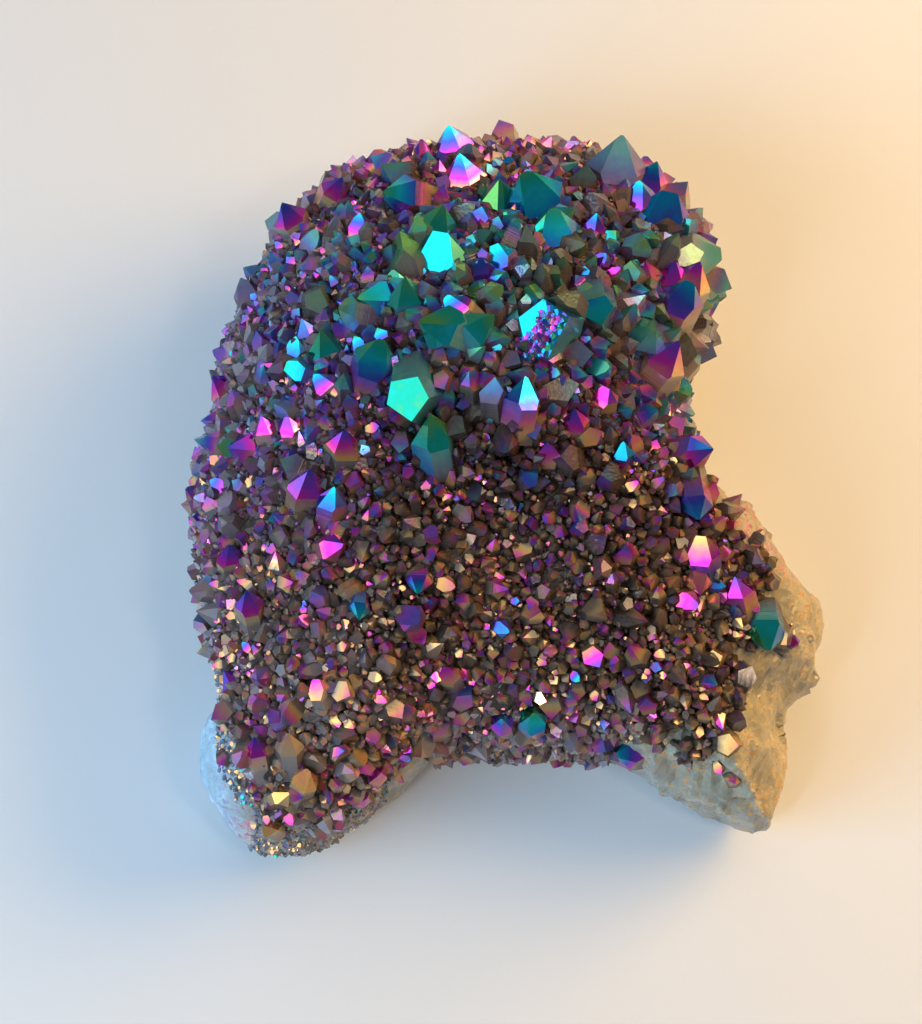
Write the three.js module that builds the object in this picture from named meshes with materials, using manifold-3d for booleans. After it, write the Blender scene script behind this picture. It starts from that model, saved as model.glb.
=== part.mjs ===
// Aura quartz cluster: a domed plate of broken matrix rock whose upper side is a crust of quartz
// crystals grown together. Each crystal is a six-sided prism closed by three large and three small
// rhombohedral faces, and every crystal is fused to the rock and to its neighbours, so the whole
// cluster is one solid. It lies on a flat cut face, and bare rock shows at two of its corners.
//
// Millimetres, +Z up. The origin is on the flat cut underneath, at the middle of the cluster.
// +X is its right and -Y its front when it is looked at from the front and above.

import * as THREE from 'three';
import { ConvexGeometry } from 'three/addons/geometries/ConvexGeometry.js';
import { mergeVertices } from 'three/addons/utils/BufferGeometryUtils.js';
import Module from 'manifold-3d';

// ---------------------------------------------------------------- driving dimensions

const DOME_TOP = 23.5;          // rock height over most of the plate
const CREST_RISE = 6.5;         // how much higher the crest stands
const CREST = { x: -2, y: 12, across: 30, along: 20 };  // the rock's crest, in plan
const CREST_CRYSTALS = { x: -3, y: 16, across: 16, along: 13 };  // where the crust is coarsest
const SHOULDER_CRYSTALS = { x: 19, y: 20, across: 11, along: 17 };
const BACK_START = 24, BACK_FULL = 38;  // y from which the crust is coarser towards the back
const DOME_POWER = 2.3;         // roundness of the dome: 2 is an ellipse, more is a pillow
const LUMP = 0.55;              // height of the low swells of the rock
const BASE_INSET = 0.87;        // the flat cut's outline, as a share of the rim's
const WALL_BULGE = 0.965;       // the wall halfway up, as a share of the rim's
const HEART = new THREE.Vector2(-3, 1.5); // the point that the outline is drawn around

// The rim of the rock in plan: x, y, height of the rim, width of the bare rock inside it.
const RIM = [
  [27.5, -2.5, 9, 1], [33.4, -10.3, 8, 5], [37.6, -16.4, 8, 9], [38.2, -20.5, 7, 9],
  [37.3, -23.5, 7, 8], [33.0, -26.6, 8, 6], [31.9, -30.0, 7, 7], [32.2, -34.5, 6, 8],
  [30.8, -41.2, 4, 9], [28.0, -42.0, 3, 8], [21.8, -38.8, 4, 6], [16.5, -35.2, 4, 3],
  [11.5, -32.8, 5, 0], [4.0, -32.3, 5, 0], [-6.5, -32.5, 5, 0], [-10.5, -35.0, 4, 2],
  [-15.0, -39.0, 3, 2], [-20.0, -42.6, 3, 2], [-27.4, -43.4, 3, 3], [-31.0, -41.0, 4, 5],
  [-33.6, -36.0, 4, 6], [-33.6, -30.5, 5, 5], [-32.3, -26.5, 6, 2], [-33.6, -20.0, 7, 0],
  [-34.5, -12.0, 7, 0], [-35.7, -3.0, 7, 0], [-35.2, 2.5, 7, 0], [-32.6, 9.5, 8, 0],
  [-32.9, 14.5, 8, 0], [-29.9, 23.9, 8, 0], [-25.6, 32.0, 10, 0], [-19.4, 38.2, 12, 0],
  [-10.0, 41.4, 12, 0], [0.0, 42.0, 12, 0], [11.0, 41.6, 12, 0], [18.0, 38.4, 12, 0],
  [22.6, 33.2, 11, 0], [24.8, 26.8, 10, 0], [23.9, 20.2, 9, 0], [20.8, 11.0, 9, 0],
  [21.6, 5.0, 9, 0], [24.5, -0.5, 9, 0],
];

// Broken ledges of the bare rock, each the corners of one convex lump: the ridge of the right front
// lobe, the flat wing above it, and the shelf along the left front lobe.
const LEDGES = [
  [
    [22.0, -29.5, 19.3], [25.8, -35.8, 16.3], [28.8, -39.8, 12.2], [29.6, -40.6, 8.5],
    [23.4, -37.6, 9.0], [19.5, -33.5, 13.0], [31.4, -34.0, 6.5], [29.5, -29.0, 11.0],
    [25.5, -26.5, 15.0],
  ],
  [
    [28.5, -7.0, 16.3], [34.0, -13.2, 13.9], [37.2, -18.6, 11.6], [36.6, -22.6, 11.4],
    [32.6, -25.2, 13.3], [29.0, -21.0, 18.0], [27.5, -14.0, 20.4], [30.0, -10.0, 8.0],
    [36.3, -17.0, 6.0], [35.5, -22.4, 6.0], [31.0, -22.0, 8.0],
  ],
  [
    [-33.3, -28.0, 9.0], [-33.8, -32.0, 9.8], [-33.6, -35.5, 9.2], [-31.2, -39.6, 9.6],
    [-29.5, -36.0, 13.5], [-30.5, -30.0, 15.0], [-32.5, -30.0, 5.0], [-31.5, -38.0, 4.5],
    [-28.0, -34.0, 8.0],
  ],
];

// One crystal. Unevenness is how much a size may grow by chance, as a share of the width.
const FACE_TO_AXIS = THREE.MathUtils.degToRad(51.8); // a quartz end face's normal to the long axis
const STAND = 0.85;             // how far a tip stands above its foot, in crystal widths
const SHOWN = 0.7;              // a large crystal's tip above the rock, as a share of that
const ROOT = 2.6;               // how far a crystal goes on below its foot
const ROOTED = 1.5;             // how deep in the rock a large crystal ends, at least
const SLIMMEST = 0.88;          // least distance of a side from the long axis, in half widths
const SIDE_UNEVEN = 0.24;       // unevenness of that distance
const FACE_UNEVEN = 0.10;       // how far a chance crystal's end face may be cut back from the tip
const SMALL_SPREAD = 1.35;      // how much further out a small crystal's hidden sides are
const CORNER_MERGE = 0.05;      // corners of a crystal nearer than this are one

// How far each of the six end faces stays outside the tip, in widths, for the shapes of a tip.
const SHAPES = {
  point: [0, 0, 0, 0, 0, 0],
  chisel: [0, 0.10, 0.10, 0, 0.10, 0.10],
  broad: [0, 0.09, 0.12, 0.11, 0.12, 0.09],
  three: [0, 0.24, 0.03, 0.28, 0.06, 0.24],
  worn: [0, 0.02, 0.05, 0.03, 0.05, 0.02],
};

const UPRIGHT = 0.6;            // least cosine between a large crystal's axis and the rock's normal

// The crystals that are placed by chance.
const CRUST_WIDTH = 3.0;        // the usual width over most of the crust
const CREST_EXTRA = 1.2;        // how much wider it is on the crest, and at the back and shoulder
const BACK_SHARE = 0.8;         // the back's share of that
const SPACING = 1.70;           // least distance between neighbours, in their mean width
const CROWDING = 3.6;           // a wider crystal than this keeps its neighbours no further off
const LOWEST = 0.6;             // no crystal comes lower than this
const CANDIDATES = 5000;        // places tried for the crystals that are not placed by hand

// The place from which the cluster is best looked at: in front and above.
const LOOK_TILT = THREE.MathUtils.degToRad(70);
const LOOK_AT = new THREE.Vector3(-4.5, -5.4, 14);
const LOOK_DISTANCE = 320;

// The largest crystals, placed by hand as they appear from there: u to the right and v up from the
// middle of the view, width, u and v of the main face's normal, the direction in degrees in which
// that face narrows to the tip, from 0 for right to 90 for up, a turn about that normal, and shape.
const LARGE = [
  // the crest
  [-2.4, 32.2, 6.0, -0.40, 0.05, 78, 0, 'chisel'],
  [4.4, 38.2, 4.8, 0.00, -0.05, 88, 30, 'point'], [-0.2, 41.2, 5.1, -0.38, 0.02, 88, 0, 'point'],
  [-1.5, 44.4, 4.2, -0.36, 0.04, 95, 0, 'point'], [-8.9, 36.9, 5.1, 0.10, 0.20, 178, 0, 'point'],
  [7.6, 38.4, 6.4, 0.12, 0.00, 118, 0, 'broad'], [10.6, 34.3, 4.9, 0.16, -0.05, 100, 0, 'broad'],
  [-2.0, 35.3, 5.3, -0.05, 0.00, 75, 0, 'point'], [2.3, 29.2, 4.4, 0.15, -0.25, 95, 0, 'point'],
  [3.8, 30.7, 3.4, -0.42, 0.05, 110, 0, 'chisel'],
  [15.6, 34.3, 3.2, -0.40, 0.05, 60, 0, 'point'],
  [-4.8, 21.9, 5.4, 0.05, 0.30, 175, 30, 'point'], [3.8, 22.7, 4.6, 0.10, 0.25, 30, 30, 'point'],
  [-1.5, 24.4, 3.6, -0.38, 0.05, 130, 0, 'broad'],
  [11.8, 22.2, 7.2, -0.42, 0.06, 12, 0, 'three'],
  [-5.8, 10.9, 5.8, -0.25, 0.05, 280, 0, 'three'],
  [-3.6, 11.2, 4.6, 0.05, 0.40, 100, 0, 'point'],
  [-11.7, 24.6, 4.8, 0.05, 0.00, 178, 30, 'point'],
  [-9.3, 19.2, 4.8, -0.05, -0.10, 70, 0, 'broad'],
  [-16.1, 20.9, 4.2, 0.00, 0.05, 110, 0, 'point'],
  [-6.4, 27.0, 4.6, 0.10, 0.05, 100, 0, 'point'], [7.4, 15.5, 4.2, 0.32, 0.36, 90, 0, 'point'],
  // the right shoulder
  [18.4, 43.0, 6.4, 0.10, 0.20, 85, 0, 'worn'], [22.5, 40.2, 4.4, 0.10, 0.10, 75, 0, 'point'],
  [20.4, 37.6, 3.7, -0.42, 0.05, 70, 0, 'broad'], [24.0, 36.8, 5.8, 0.20, 0.05, 80, 0, 'chisel'],
  [27.5, 28.8, 4.8, 0.10, 0.10, 80, 0, 'point'], [26.1, 26.0, 4.8, 0.10, 0.15, 95, 0, 'broad'],
  [24.6, 28.8, 4.0, 0.05, -0.05, 90, 0, 'point'],
  [16.0, 21.9, 4.0, -0.12, 0.10, 275, 0, 'three'],
  [21.2, 28.8, 3.0, -0.10, -0.20, 90, 0, 'point'],
  [18.3, 28.1, 2.5, -0.40, 0.05, 20, 0, 'point'], [22.7, 17.8, 4.0, -0.42, 0.05, 55, 0, 'point'],
  [24.4, 16.7, 3.2, -0.40, -0.02, 60, 0, 'point'], [25.0, 19.6, 4.9, 0.15, 0.15, 80, 0, 'point'],
  [16.7, 14.3, 3.0, -0.42, 0.05, 60, 0, 'chisel'],
  [13.0, 11.8, 3.0, 0.05, -0.10, 95, 0, 'point'], [18.7, 8.1, 2.6, -0.42, 0.05, 80, 0, 'point'],
  // the left side
  [-16.7, 15.5, 3.0, -0.38, 0.02, 130, 0, 'broad'],
  [-13.3, 9.4, 4.2, 0.10, -0.15, 90, 0, 'point'],
  [-22.9, 11.0, 3.0, -0.36, 0.00, 95, 0, 'point'],
  [-20.0, 10.6, 2.5, -0.40, 0.03, 90, 0, 'broad'],
  [-26.7, 7.5, 3.9, 0.05, 0.05, 175, 30, 'point'],
  [-17.4, 4.8, 4.2, 0.15, -0.20, 90, 0, 'point'], [-14.6, 2.9, 3.6, -0.30, 0.10, 70, 0, 'point'],
  [-20.2, 16.8, 3.1, -0.40, 0.00, 160, 0, 'chisel'],
  [-24.6, -9.0, 3.6, 0.00, 0.10, 100, 0, 'point'],
  [-13.6, -3.8, 3.4, -0.25, -0.10, 10, 0, 'point'],
  [-26.6, -3.8, 3.1, 0.10, -0.10, 100, 0, 'point'],
  [-20.6, 35.6, 3.6, -0.10, 0.10, 120, 0, 'point'],
  [-13.6, 38.4, 3.4, 0.05, 0.10, 60, 0, 'point'],
  [-28.6, 15.6, 3.4, -0.05, -0.05, 120, 0, 'point'],
  // the lower face
  [28.9, 7.2, 4.0, -0.10, 0.00, -5, 30, 'point'], [27.3, -0.8, 3.5, 0.00, 0.05, 272, 0, 'point'],
  [27.6, -2.9, 3.7, -0.38, 0.05, 85, 0, 'chisel'],
  [31.5, -7.5, 3.3, -0.40, 0.02, 90, 0, 'point'],
  [26.9, -10.8, 2.7, -0.42, 0.05, 340, 0, 'broad'],
  [35.3, -15.4, 3.6, 0.05, 0.10, 270, 0, 'broad'],
  [27.5, -9.5, 2.6, 0.05, 0.00, 270, 0, 'point'], [-4.9, -9.4, 2.6, 0.00, 0.10, 268, 0, 'point'],
  [-11.7, -12.4, 2.2, 0.00, 0.05, 265, 0, 'point'],
  [4.7, -23.9, 2.6, -0.35, 0.05, 88, 0, 'point'], [8.3, -23.5, 2.9, 0.15, 0.00, 95, 0, 'broad'],
  [-1.7, -17.9, 2.7, -0.42, 0.04, 100, 0, 'chisel'],
  [-16.7, -19.3, 2.9, -0.42, 0.05, 95, 0, 'broad'],
  [18.4, -27.9, 3.3, -0.42, 0.05, 95, 0, 'broad'],
  [-9.3, -30.0, 2.3, -0.40, 0.05, 90, 0, 'point'],
  [-10.8, -32.8, 2.0, -0.42, 0.05, 60, 0, 'point'],
  // the left foot
  [-23.8, -26.0, 2.8, 0.05, 0.10, 100, 0, 'point'],
  [-19.9, -25.6, 3.4, -0.05, 0.10, 90, 0, 'broad'],
  [-19.6, -32.3, 2.4, -0.20, 0.05, 20, 0, 'point'],
  [-21.2, -36.6, 2.4, -0.20, 0.05, 60, 0, 'point'],
  [-17.7, -30.0, 3.0, -0.15, 0.10, 60, 0, 'broad'],
];

// ---------------------------------------------------------------- chance

// A repeatable stream of numbers from 0 to 1.
function stream(seed) {
  let state = seed >>> 0;
  return () => {
    state = (state + 0x6d2b79f5) >>> 0;
    let mixed = Math.imul(state ^ (state >>> 15), state | 1);
    mixed = (mixed + Math.imul(mixed ^ (mixed >>> 7), mixed | 61)) ^ mixed;
    return ((mixed ^ (mixed >>> 14)) >>> 0) / 4294967296;
  };
}

// ---------------------------------------------------------------- the rock

const cross2 = (ax, ay, bx, by) => ax * by - ay * bx;

// What the rim is in the direction of a point: its radius, its height and its bare width.
function rimTowards(x, y) {
  const dx = x - HEART.x, dy = y - HEART.y, length = Math.hypot(dx, dy) || 1e-9;
  const ux = dx / length, uy = dy / length;
  for (let i = 0; i < RIM.length; i++) {
    const [ax, ay, az, aBare] = RIM[i], [bx, by, bz, bBare] = RIM[(i + 1) % RIM.length];
    const px = ax - HEART.x, py = ay - HEART.y, qx = bx - HEART.x, qy = by - HEART.y;
    const overA = cross2(ux, uy, px, py), overB = cross2(qx, qy, ux, uy);
    if (overA < 0 || overB < 0 || overA + overB === 0) continue;
    const share = overA / (overA + overB);
    const ex = px + (qx - px) * share, ey = py + (qy - py) * share;
    if (ex * ux + ey * uy <= 0) continue;
    return {
      radius: Math.hypot(ex, ey), height: az + (bz - az) * share, bare: aBare + (bBare - aBare) * share,
    };
  }
  throw new Error('the rim does not go round its heart');
}

// A smooth hill: 1 at its middle, falling off across and along.
const hill = (at, x, y) => Math.exp(-(((x - at.x) / at.across) ** 2) - ((y - at.y) / at.along) ** 2);

// The rock's height under the crest and the low swells, before the dome falls off to the rim.
function fullHeight(x, y) {
  const crest = hill(CREST, x, y);
  const swell = Math.sin(0.31 * x + 1.1) * Math.cos(0.27 * y + 0.4) + 0.6 * Math.sin(0.19 * (x + y));
  return DOME_TOP + CREST_RISE * crest + LUMP * swell;
}

// A point of the dome: angle around the heart, and lift from 0 at the rim to a right angle on top.
function domePoint(angle, lift) {
  const cos = Math.cos(angle), sin = Math.sin(angle);
  const rim = rimTowards(HEART.x + cos, HEART.y + sin);
  const reach = rim.radius * Math.cos(lift) ** (2 / DOME_POWER);
  const x = HEART.x + reach * cos, y = HEART.y + reach * sin;
  const z = rim.height + (fullHeight(x, y) - rim.height) * Math.sin(lift) ** (2 / DOME_POWER);
  return new THREE.Vector3(x, y, z);
}

function domeNormal(angle, lift) {
  const step = 0.02, low = Math.max(lift - step, 0), high = Math.min(lift + step, Math.PI / 2 - 1e-3);
  const up = domePoint(angle, high).sub(domePoint(angle, low));
  const along = domePoint(angle + step, lift).sub(domePoint(angle - step, lift));
  return along.cross(up).normalize();
}

// The angle and lift of the dome over a point in plan; a point outside the rim has lift 0.
function domePlace(x, y) {
  const share = Math.min(Math.hypot(x - HEART.x, y - HEART.y) / rimTowards(x, y).radius, 1);
  return [Math.atan2(y - HEART.y, x - HEART.x), Math.acos(share ** (DOME_POWER / 2))];
}

// The rock is rings of points from the middle of the cut, up the wall and over the dome.
const LIFTS = [0, 14, 34, 60].map(THREE.MathUtils.degToRad);

function rockGeometry() {
  const chance = stream(5), rings = [];
  const wobble = () => 1 + 0.02 * (chance() - 0.5);
  const ringAt = (share, heightShare) => RIM.map(([x, y, z]) => {
    const reach = share * wobble();
    return [HEART.x + (x - HEART.x) * reach, HEART.y + (y - HEART.y) * reach, z * heightShare];
  });
  rings.push(ringAt(BASE_INSET, 0), ringAt(WALL_BULGE, 0.45));
  for (const lift of LIFTS) {
    rings.push(RIM.map(([x, y]) => domePoint(Math.atan2(y - HEART.y, x - HEART.x), lift).toArray()));
  }
  const points = [[HEART.x, HEART.y, 0], ...rings.flat(), domePoint(0, Math.PI / 2).toArray()];
  const faces = [], around = RIM.length, last = points.length - 1;
  for (let i = 0; i < around; i++) {
    const next = (i + 1) % around;
    // RIM runs clockwise seen from above where x falls, so each face is wound to look outwards.
    faces.push([0, 1 + i, 1 + next]);
    for (let ring = 0; ring + 1 < rings.length; ring++) {
      const low = 1 + ring * around, high = low + around;
      faces.push([low + i, high + i, high + next], [low + i, high + next, low + next]);
    }
    const top = 1 + (rings.length - 1) * around;
    faces.push([top + i, last, top + next]);
  }
  return solidGeometry(points, faces);
}

function solidGeometry(points, faces) {
  const geometry = new THREE.BufferGeometry();
  geometry.setAttribute('position', new THREE.Float32BufferAttribute(points.flat(), 3));
  geometry.setIndex(faces.flat());
  return geometry;
}

// ---------------------------------------------------------------- one crystal

// The corners of the convex body that a list of planes [normal, distance] encloses.
function cornersOf(planes) {
  const corners = [];
  for (let i = 0; i < planes.length; i++) {
    for (let j = i + 1; j < planes.length; j++) {
      for (let k = j + 1; k < planes.length; k++) {
        const [[a, aGap], [b, bGap], [c, cGap]] = [planes[i], planes[j], planes[k]];
        const bc = new THREE.Vector3().crossVectors(b, c), volume = a.dot(bc);
        if (Math.abs(volume) < 1e-6) continue;
        const ca = new THREE.Vector3().crossVectors(c, a), ab = new THREE.Vector3().crossVectors(a, b);
        const corner = bc.multiplyScalar(aGap).addScaledVector(ca, bGap).addScaledVector(ab, cGap)
          .divideScalar(volume);
        const inside = planes.every(([normal, gap]) => normal.dot(corner) <= gap + 1e-4);
        if (inside && !corners.some((c) => c.distanceTo(corner) < CORNER_MERGE)) corners.push(corner);
      }
    }
  }
  return corners;
}

// A crystal's planes with its tip at 0 and its long axis along z: prism sides, end faces and root.
// A chance crystal has only its three large end faces, over three sides that the crust hides.
function crystalPlanes({ width, length, shape, seed }) {
  const chance = stream(seed), planes = [];
  for (let side = 0; side < 6; side++) {
    const azimuth = side * Math.PI / 3;
    const apothem = width / 2 * (SLIMMEST + SIDE_UNEVEN * chance());
    const uneven = side > 0 ? chance() : 0;
    if (!shape && side % 2) continue;
    const setBack = width * (shape ? SHAPES[shape][side] : -FACE_UNEVEN * uneven);
    const outwards = new THREE.Vector3(Math.cos(azimuth), Math.sin(azimuth), 0);
    const end = outwards.clone().multiplyScalar(Math.sin(FACE_TO_AXIS));
    end.z = Math.cos(FACE_TO_AXIS);
    planes.push([outwards, shape ? apothem : apothem * SMALL_SPREAD], [end, setBack]);
  }
  planes.push([new THREE.Vector3(0, 0, -1), length]);
  return planes;
}

// A crystal's corners where it stands.
function placedCorners(crystal) {
  const placed = new THREE.Matrix4().makeBasis(
    crystal.face, new THREE.Vector3().crossVectors(crystal.axis, crystal.face), crystal.axis);
  placed.setPosition(crystal.tip);
  return cornersOf(crystalPlanes(crystal)).map((corner) => corner.applyMatrix4(placed));
}

// The convex body of some corners.
function hullGeometry(corners) {
  const body = new ConvexGeometry(corners);
  body.deleteAttribute('normal');
  return body;
}

// ---------------------------------------------------------------- where the crystals stand

const LOOK_BACK = new THREE.Vector3(0, -Math.cos(LOOK_TILT), Math.sin(LOOK_TILT));
const LOOK_RIGHT = new THREE.Vector3(1, 0, 0);
const LOOK_UP = new THREE.Vector3(0, Math.sin(LOOK_TILT), Math.cos(LOOK_TILT));

const inView = (u, v, towards) => new THREE.Vector3()
  .addScaledVector(LOOK_RIGHT, u).addScaledVector(LOOK_UP, v).addScaledVector(LOOK_BACK, towards);

// The crystal width that a part of the crust grows: widest on the crest and the right shoulder.
function usualWidth(x, y) {
  const crest = hill(CREST_CRYSTALS, x, y), shoulder = hill(SHOULDER_CRYSTALS, x, y);
  const back = THREE.MathUtils.smoothstep(y, BACK_START, BACK_FULL);
  return CRUST_WIDTH + CREST_EXTRA * (crest + Math.max(shoulder, BACK_SHARE * back));
}

function rootedCrystal(tip, axis, face, width, stand, seed, shape) {
  face.addScaledVector(axis, -face.dot(axis)).normalize();
  return {
    tip, axis, face, width, seed, shape, length: stand + ROOT,
    foot: tip.clone().addScaledVector(axis, -stand),
  };
}

// A hand-placed crystal: its tip is followed down its line of sight until it is near the rock, or as
// near as that line comes.
function largeCrystal([u, v, width, faceU, faceV, narrows, turn, shape], index) {
  const eye = LOOK_AT.clone().addScaledVector(LOOK_BACK, LOOK_DISTANCE);
  const sight = LOOK_AT.clone().add(inView(u, v, 0)).sub(eye).normalize();
  const stand = STAND * width, tip = eye.clone();
  let nearest = Infinity;
  for (let gone = LOOK_DISTANCE - 60; gone < LOOK_DISTANCE + 40; gone += 0.1) {
    const point = eye.clone().addScaledVector(sight, gone), place = domePlace(point.x, point.y);
    const above = point.clone().sub(domePoint(...place)), rise = above.length();
    if (rise < nearest) tip.copy(point);
    nearest = Math.min(nearest, rise);
    if (rise >= 2 * width || above.dot(domeNormal(...place)) >= SHOWN * stand) continue;
    tip.copy(point);
    break;
  }
  const face = inView(faceU, faceV, Math.sqrt(1 - faceU ** 2 - faceV ** 2));
  const upwards = THREE.MathUtils.degToRad(narrows);
  const toTip = inView(Math.cos(upwards), Math.sin(upwards), 0);
  toTip.addScaledVector(face, -toTip.dot(face)).normalize();
  const axis = face.clone().multiplyScalar(Math.cos(FACE_TO_AXIS))
    .addScaledVector(toTip, Math.sin(FACE_TO_AXIS));
  const normal = domeNormal(...domePlace(tip.x, tip.y));
  axis.addScaledVector(normal, Math.max(0, UPRIGHT - axis.dot(normal))).normalize();
  const crystal = rootedCrystal(tip, axis, face, width, stand, 1000 + index, shape);
  crystal.face.applyAxisAngle(axis, THREE.MathUtils.degToRad(turn));
  const end = tip.clone().addScaledVector(axis, -crystal.length);
  const outside = end.clone().sub(domePoint(...domePlace(end.x, end.y))).dot(normal);
  crystal.length += Math.max(0, outside + ROOTED) / UPRIGHT;
  return crystal;
}

// The other crystals are tried at chance places, and one stays where its neighbours leave it room.
function chanceCrystals(placed) {
  const chance = stream(2027), crystals = [...placed];
  for (let tried = 0; tried < CANDIDATES; tried++) {
    const [a, b, c, d, e, f, g] = Array.from({ length: 7 }, chance);
    const angle = a * 2 * Math.PI, lift = Math.asin(b ** 0.8) * 0.98;
    const foot = domePoint(angle, lift);
    const rim = rimTowards(foot.x, foot.y);
    const inwards = rim.radius - Math.hypot(foot.x - HEART.x, foot.y - HEART.y);
    if (rim.bare > 0.5 && inwards < rim.bare) continue;
    const width = usualWidth(foot.x, foot.y) * (0.72 + 0.5 * c);
    const crowded = crystals.some((other) =>
      other.foot.distanceTo(foot) < SPACING * (Math.min(other.width, CROWDING) + width) / 2);
    if (crowded) continue;
    const normal = domeNormal(angle, lift);
    const aside = new THREE.Vector3(-Math.sin(angle), Math.cos(angle), 0);
    const axis = normal.clone().addScaledVector(aside, 0.8 * (d - 0.5));
    axis.z += 0.55 * (e - 0.35);
    axis.normalize();
    const face = aside.applyAxisAngle(axis, f * Math.PI);
    const stand = width * STAND * (0.65 + 0.5 * g);
    const tip = foot.addScaledVector(axis, stand);
    const crystal = rootedCrystal(tip, axis, face, width, stand, 5000 + tried);
    if (placedCorners(crystal).every((corner) => corner.z > LOWEST)) crystals.push(crystal);
  }
  return crystals;
}

// ---------------------------------------------------------------- the solid

const wasm = await Module();
wasm.setup();

function solidOf(geometry) {
  const merged = mergeVertices(geometry, 1e-4);
  return new wasm.Manifold(new wasm.Mesh({
    numProp: 3,
    vertProperties: new Float32Array(merged.attributes.position.array),
    triVerts: new Uint32Array(merged.index.array),
  }));
}

function geometryOf(solid) {
  const { numProp, vertProperties, triVerts } = solid.getMesh(), position = [];
  for (let i = 0; i < vertProperties.length; i += numProp) {
    position.push(vertProperties[i], vertProperties[i + 1], vertProperties[i + 2]);
  }
  return solidGeometry(position, [Array.from(triVerts)]);
}

const crystals = chanceCrystals(LARGE.map(largeCrystal));
let cluster = solidOf(rockGeometry());
for (const ledge of LEDGES) {
  const corners = ledge.map((corner) => new THREE.Vector3(...corner));
  cluster = cluster.add(solidOf(hullGeometry(corners)));
}
for (const crystal of crystals) cluster = cluster.add(solidOf(hullGeometry(placedCorners(crystal))));

const AURA_QUARTZ = new THREE.MeshStandardMaterial({
  name: 'aura_quartz', color: 0x5b3f78, roughness: 0.18, metalness: 0.85, flatShading: true,
});

const mesh = new THREE.Mesh(geometryOf(cluster), AURA_QUARTZ);
mesh.name = 'quartz_cluster';

const part = new THREE.Group();
part.add(mesh);

export default part;
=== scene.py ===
# %% [markdown]
# # Aura quartz cluster
# A dome of broken matrix rock wears a crust of quartz crystals, and the whole cluster carries a
# metal film that is thinner than a wavelength of light. The film's thickness decides its colour:
# gold where it is thinnest, then magenta, violet, blue and cyan, and green where it is thickest.
# The lesson grows the crust again, finer than the solid model holds it, on the same dome.

# %% Load the frame
import itertools
import math

import bmesh
import bpy
import numpy as np
from mathutils import Matrix, Vector, noise
from mathutils.bvhtree import BVHTree


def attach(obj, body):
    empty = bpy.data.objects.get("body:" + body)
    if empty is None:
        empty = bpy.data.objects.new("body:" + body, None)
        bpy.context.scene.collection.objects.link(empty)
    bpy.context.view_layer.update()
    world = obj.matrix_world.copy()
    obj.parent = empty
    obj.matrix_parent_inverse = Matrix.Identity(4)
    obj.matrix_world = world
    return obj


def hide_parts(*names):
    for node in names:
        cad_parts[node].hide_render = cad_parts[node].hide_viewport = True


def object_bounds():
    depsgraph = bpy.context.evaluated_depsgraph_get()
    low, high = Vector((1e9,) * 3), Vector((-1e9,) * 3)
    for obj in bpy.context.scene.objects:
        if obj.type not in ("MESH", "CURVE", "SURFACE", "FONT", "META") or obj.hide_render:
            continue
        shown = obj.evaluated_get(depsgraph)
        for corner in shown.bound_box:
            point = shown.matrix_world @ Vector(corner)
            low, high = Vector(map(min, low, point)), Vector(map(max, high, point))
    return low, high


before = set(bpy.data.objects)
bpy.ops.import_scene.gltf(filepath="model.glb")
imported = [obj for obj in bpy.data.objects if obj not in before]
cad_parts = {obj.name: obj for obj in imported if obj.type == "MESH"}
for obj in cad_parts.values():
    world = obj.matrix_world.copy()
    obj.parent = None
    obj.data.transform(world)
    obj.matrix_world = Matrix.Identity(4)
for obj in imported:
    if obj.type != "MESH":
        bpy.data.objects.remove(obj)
cad_low, cad_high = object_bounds()
MM = 0.001
print("solid model, mm:", [round(v / MM, 1) for v in (*cad_low, *cad_high)])

# %% [markdown]
# ## The view
# The cluster is looked at from in front and well above, so that the whole dome shows. A long lens
# keeps the proportions calm. Points of the view are given as u to the right and v up, in
# millimetres across the middle of the cluster.

# %% Camera
LOOK_TILT = math.radians(70)
LOOK_AT = np.array([-4.5, -5.4, 14.0])
LOOK_DISTANCE = 320.0
LENS, SENSOR, CLIP = 97.8, 36.0, (0.01, 10)
LOOK_BACK = np.array([0, -math.cos(LOOK_TILT), math.sin(LOOK_TILT)])
LOOK_RIGHT = np.array([1.0, 0, 0])
LOOK_UP = np.array([0, math.sin(LOOK_TILT), math.cos(LOOK_TILT)])


def in_view(u, v, towards):
    """A vector from its parts to the right, upwards and towards the camera."""
    return u * LOOK_RIGHT + v * LOOK_UP + towards * LOOK_BACK


camera = bpy.data.objects.new("camera", bpy.data.cameras.new("camera"))
camera.data.lens, camera.data.sensor_width = LENS, SENSOR
camera.location = Vector((LOOK_AT + LOOK_BACK * LOOK_DISTANCE) * MM)
camera.rotation_euler = (math.pi / 2 - LOOK_TILT, 0, 0)
camera.data.clip_start, camera.data.clip_end = CLIP
bpy.context.collection.objects.link(camera)
bpy.context.scene.camera = camera
print("camera at, mm:", [round(v / MM) for v in camera.location])

# %% [markdown]
# ## The dome
# The rock is a pillow over an uneven outline. A point on it is named by its angle round the middle
# and its lift, from 0 at the rim to a right angle on top. Both are found by formula, so crystals can
# be rooted anywhere on it. Outline and heights are those of the solid model. The bare strip inside
# the rim is a little wider on the right than there, because the crust has finer edges here.

# %% Dome sizes, mm
DOME_TOP = 23.5
CREST_RISE = 6.5
CREST = (-2, 12, 30, 20)
DOME_POWER = 2.3
# height of the lumps, their waves along x and y as (steepness, start), and those across
LUMP, LUMP_X, LUMP_Y, LUMP_ACROSS, ACROSS_SHARE = 0.55, (0.31, 1.1), (0.27, 0.4), 0.19, 0.6
HEART = np.array([-3, 1.5])
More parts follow.
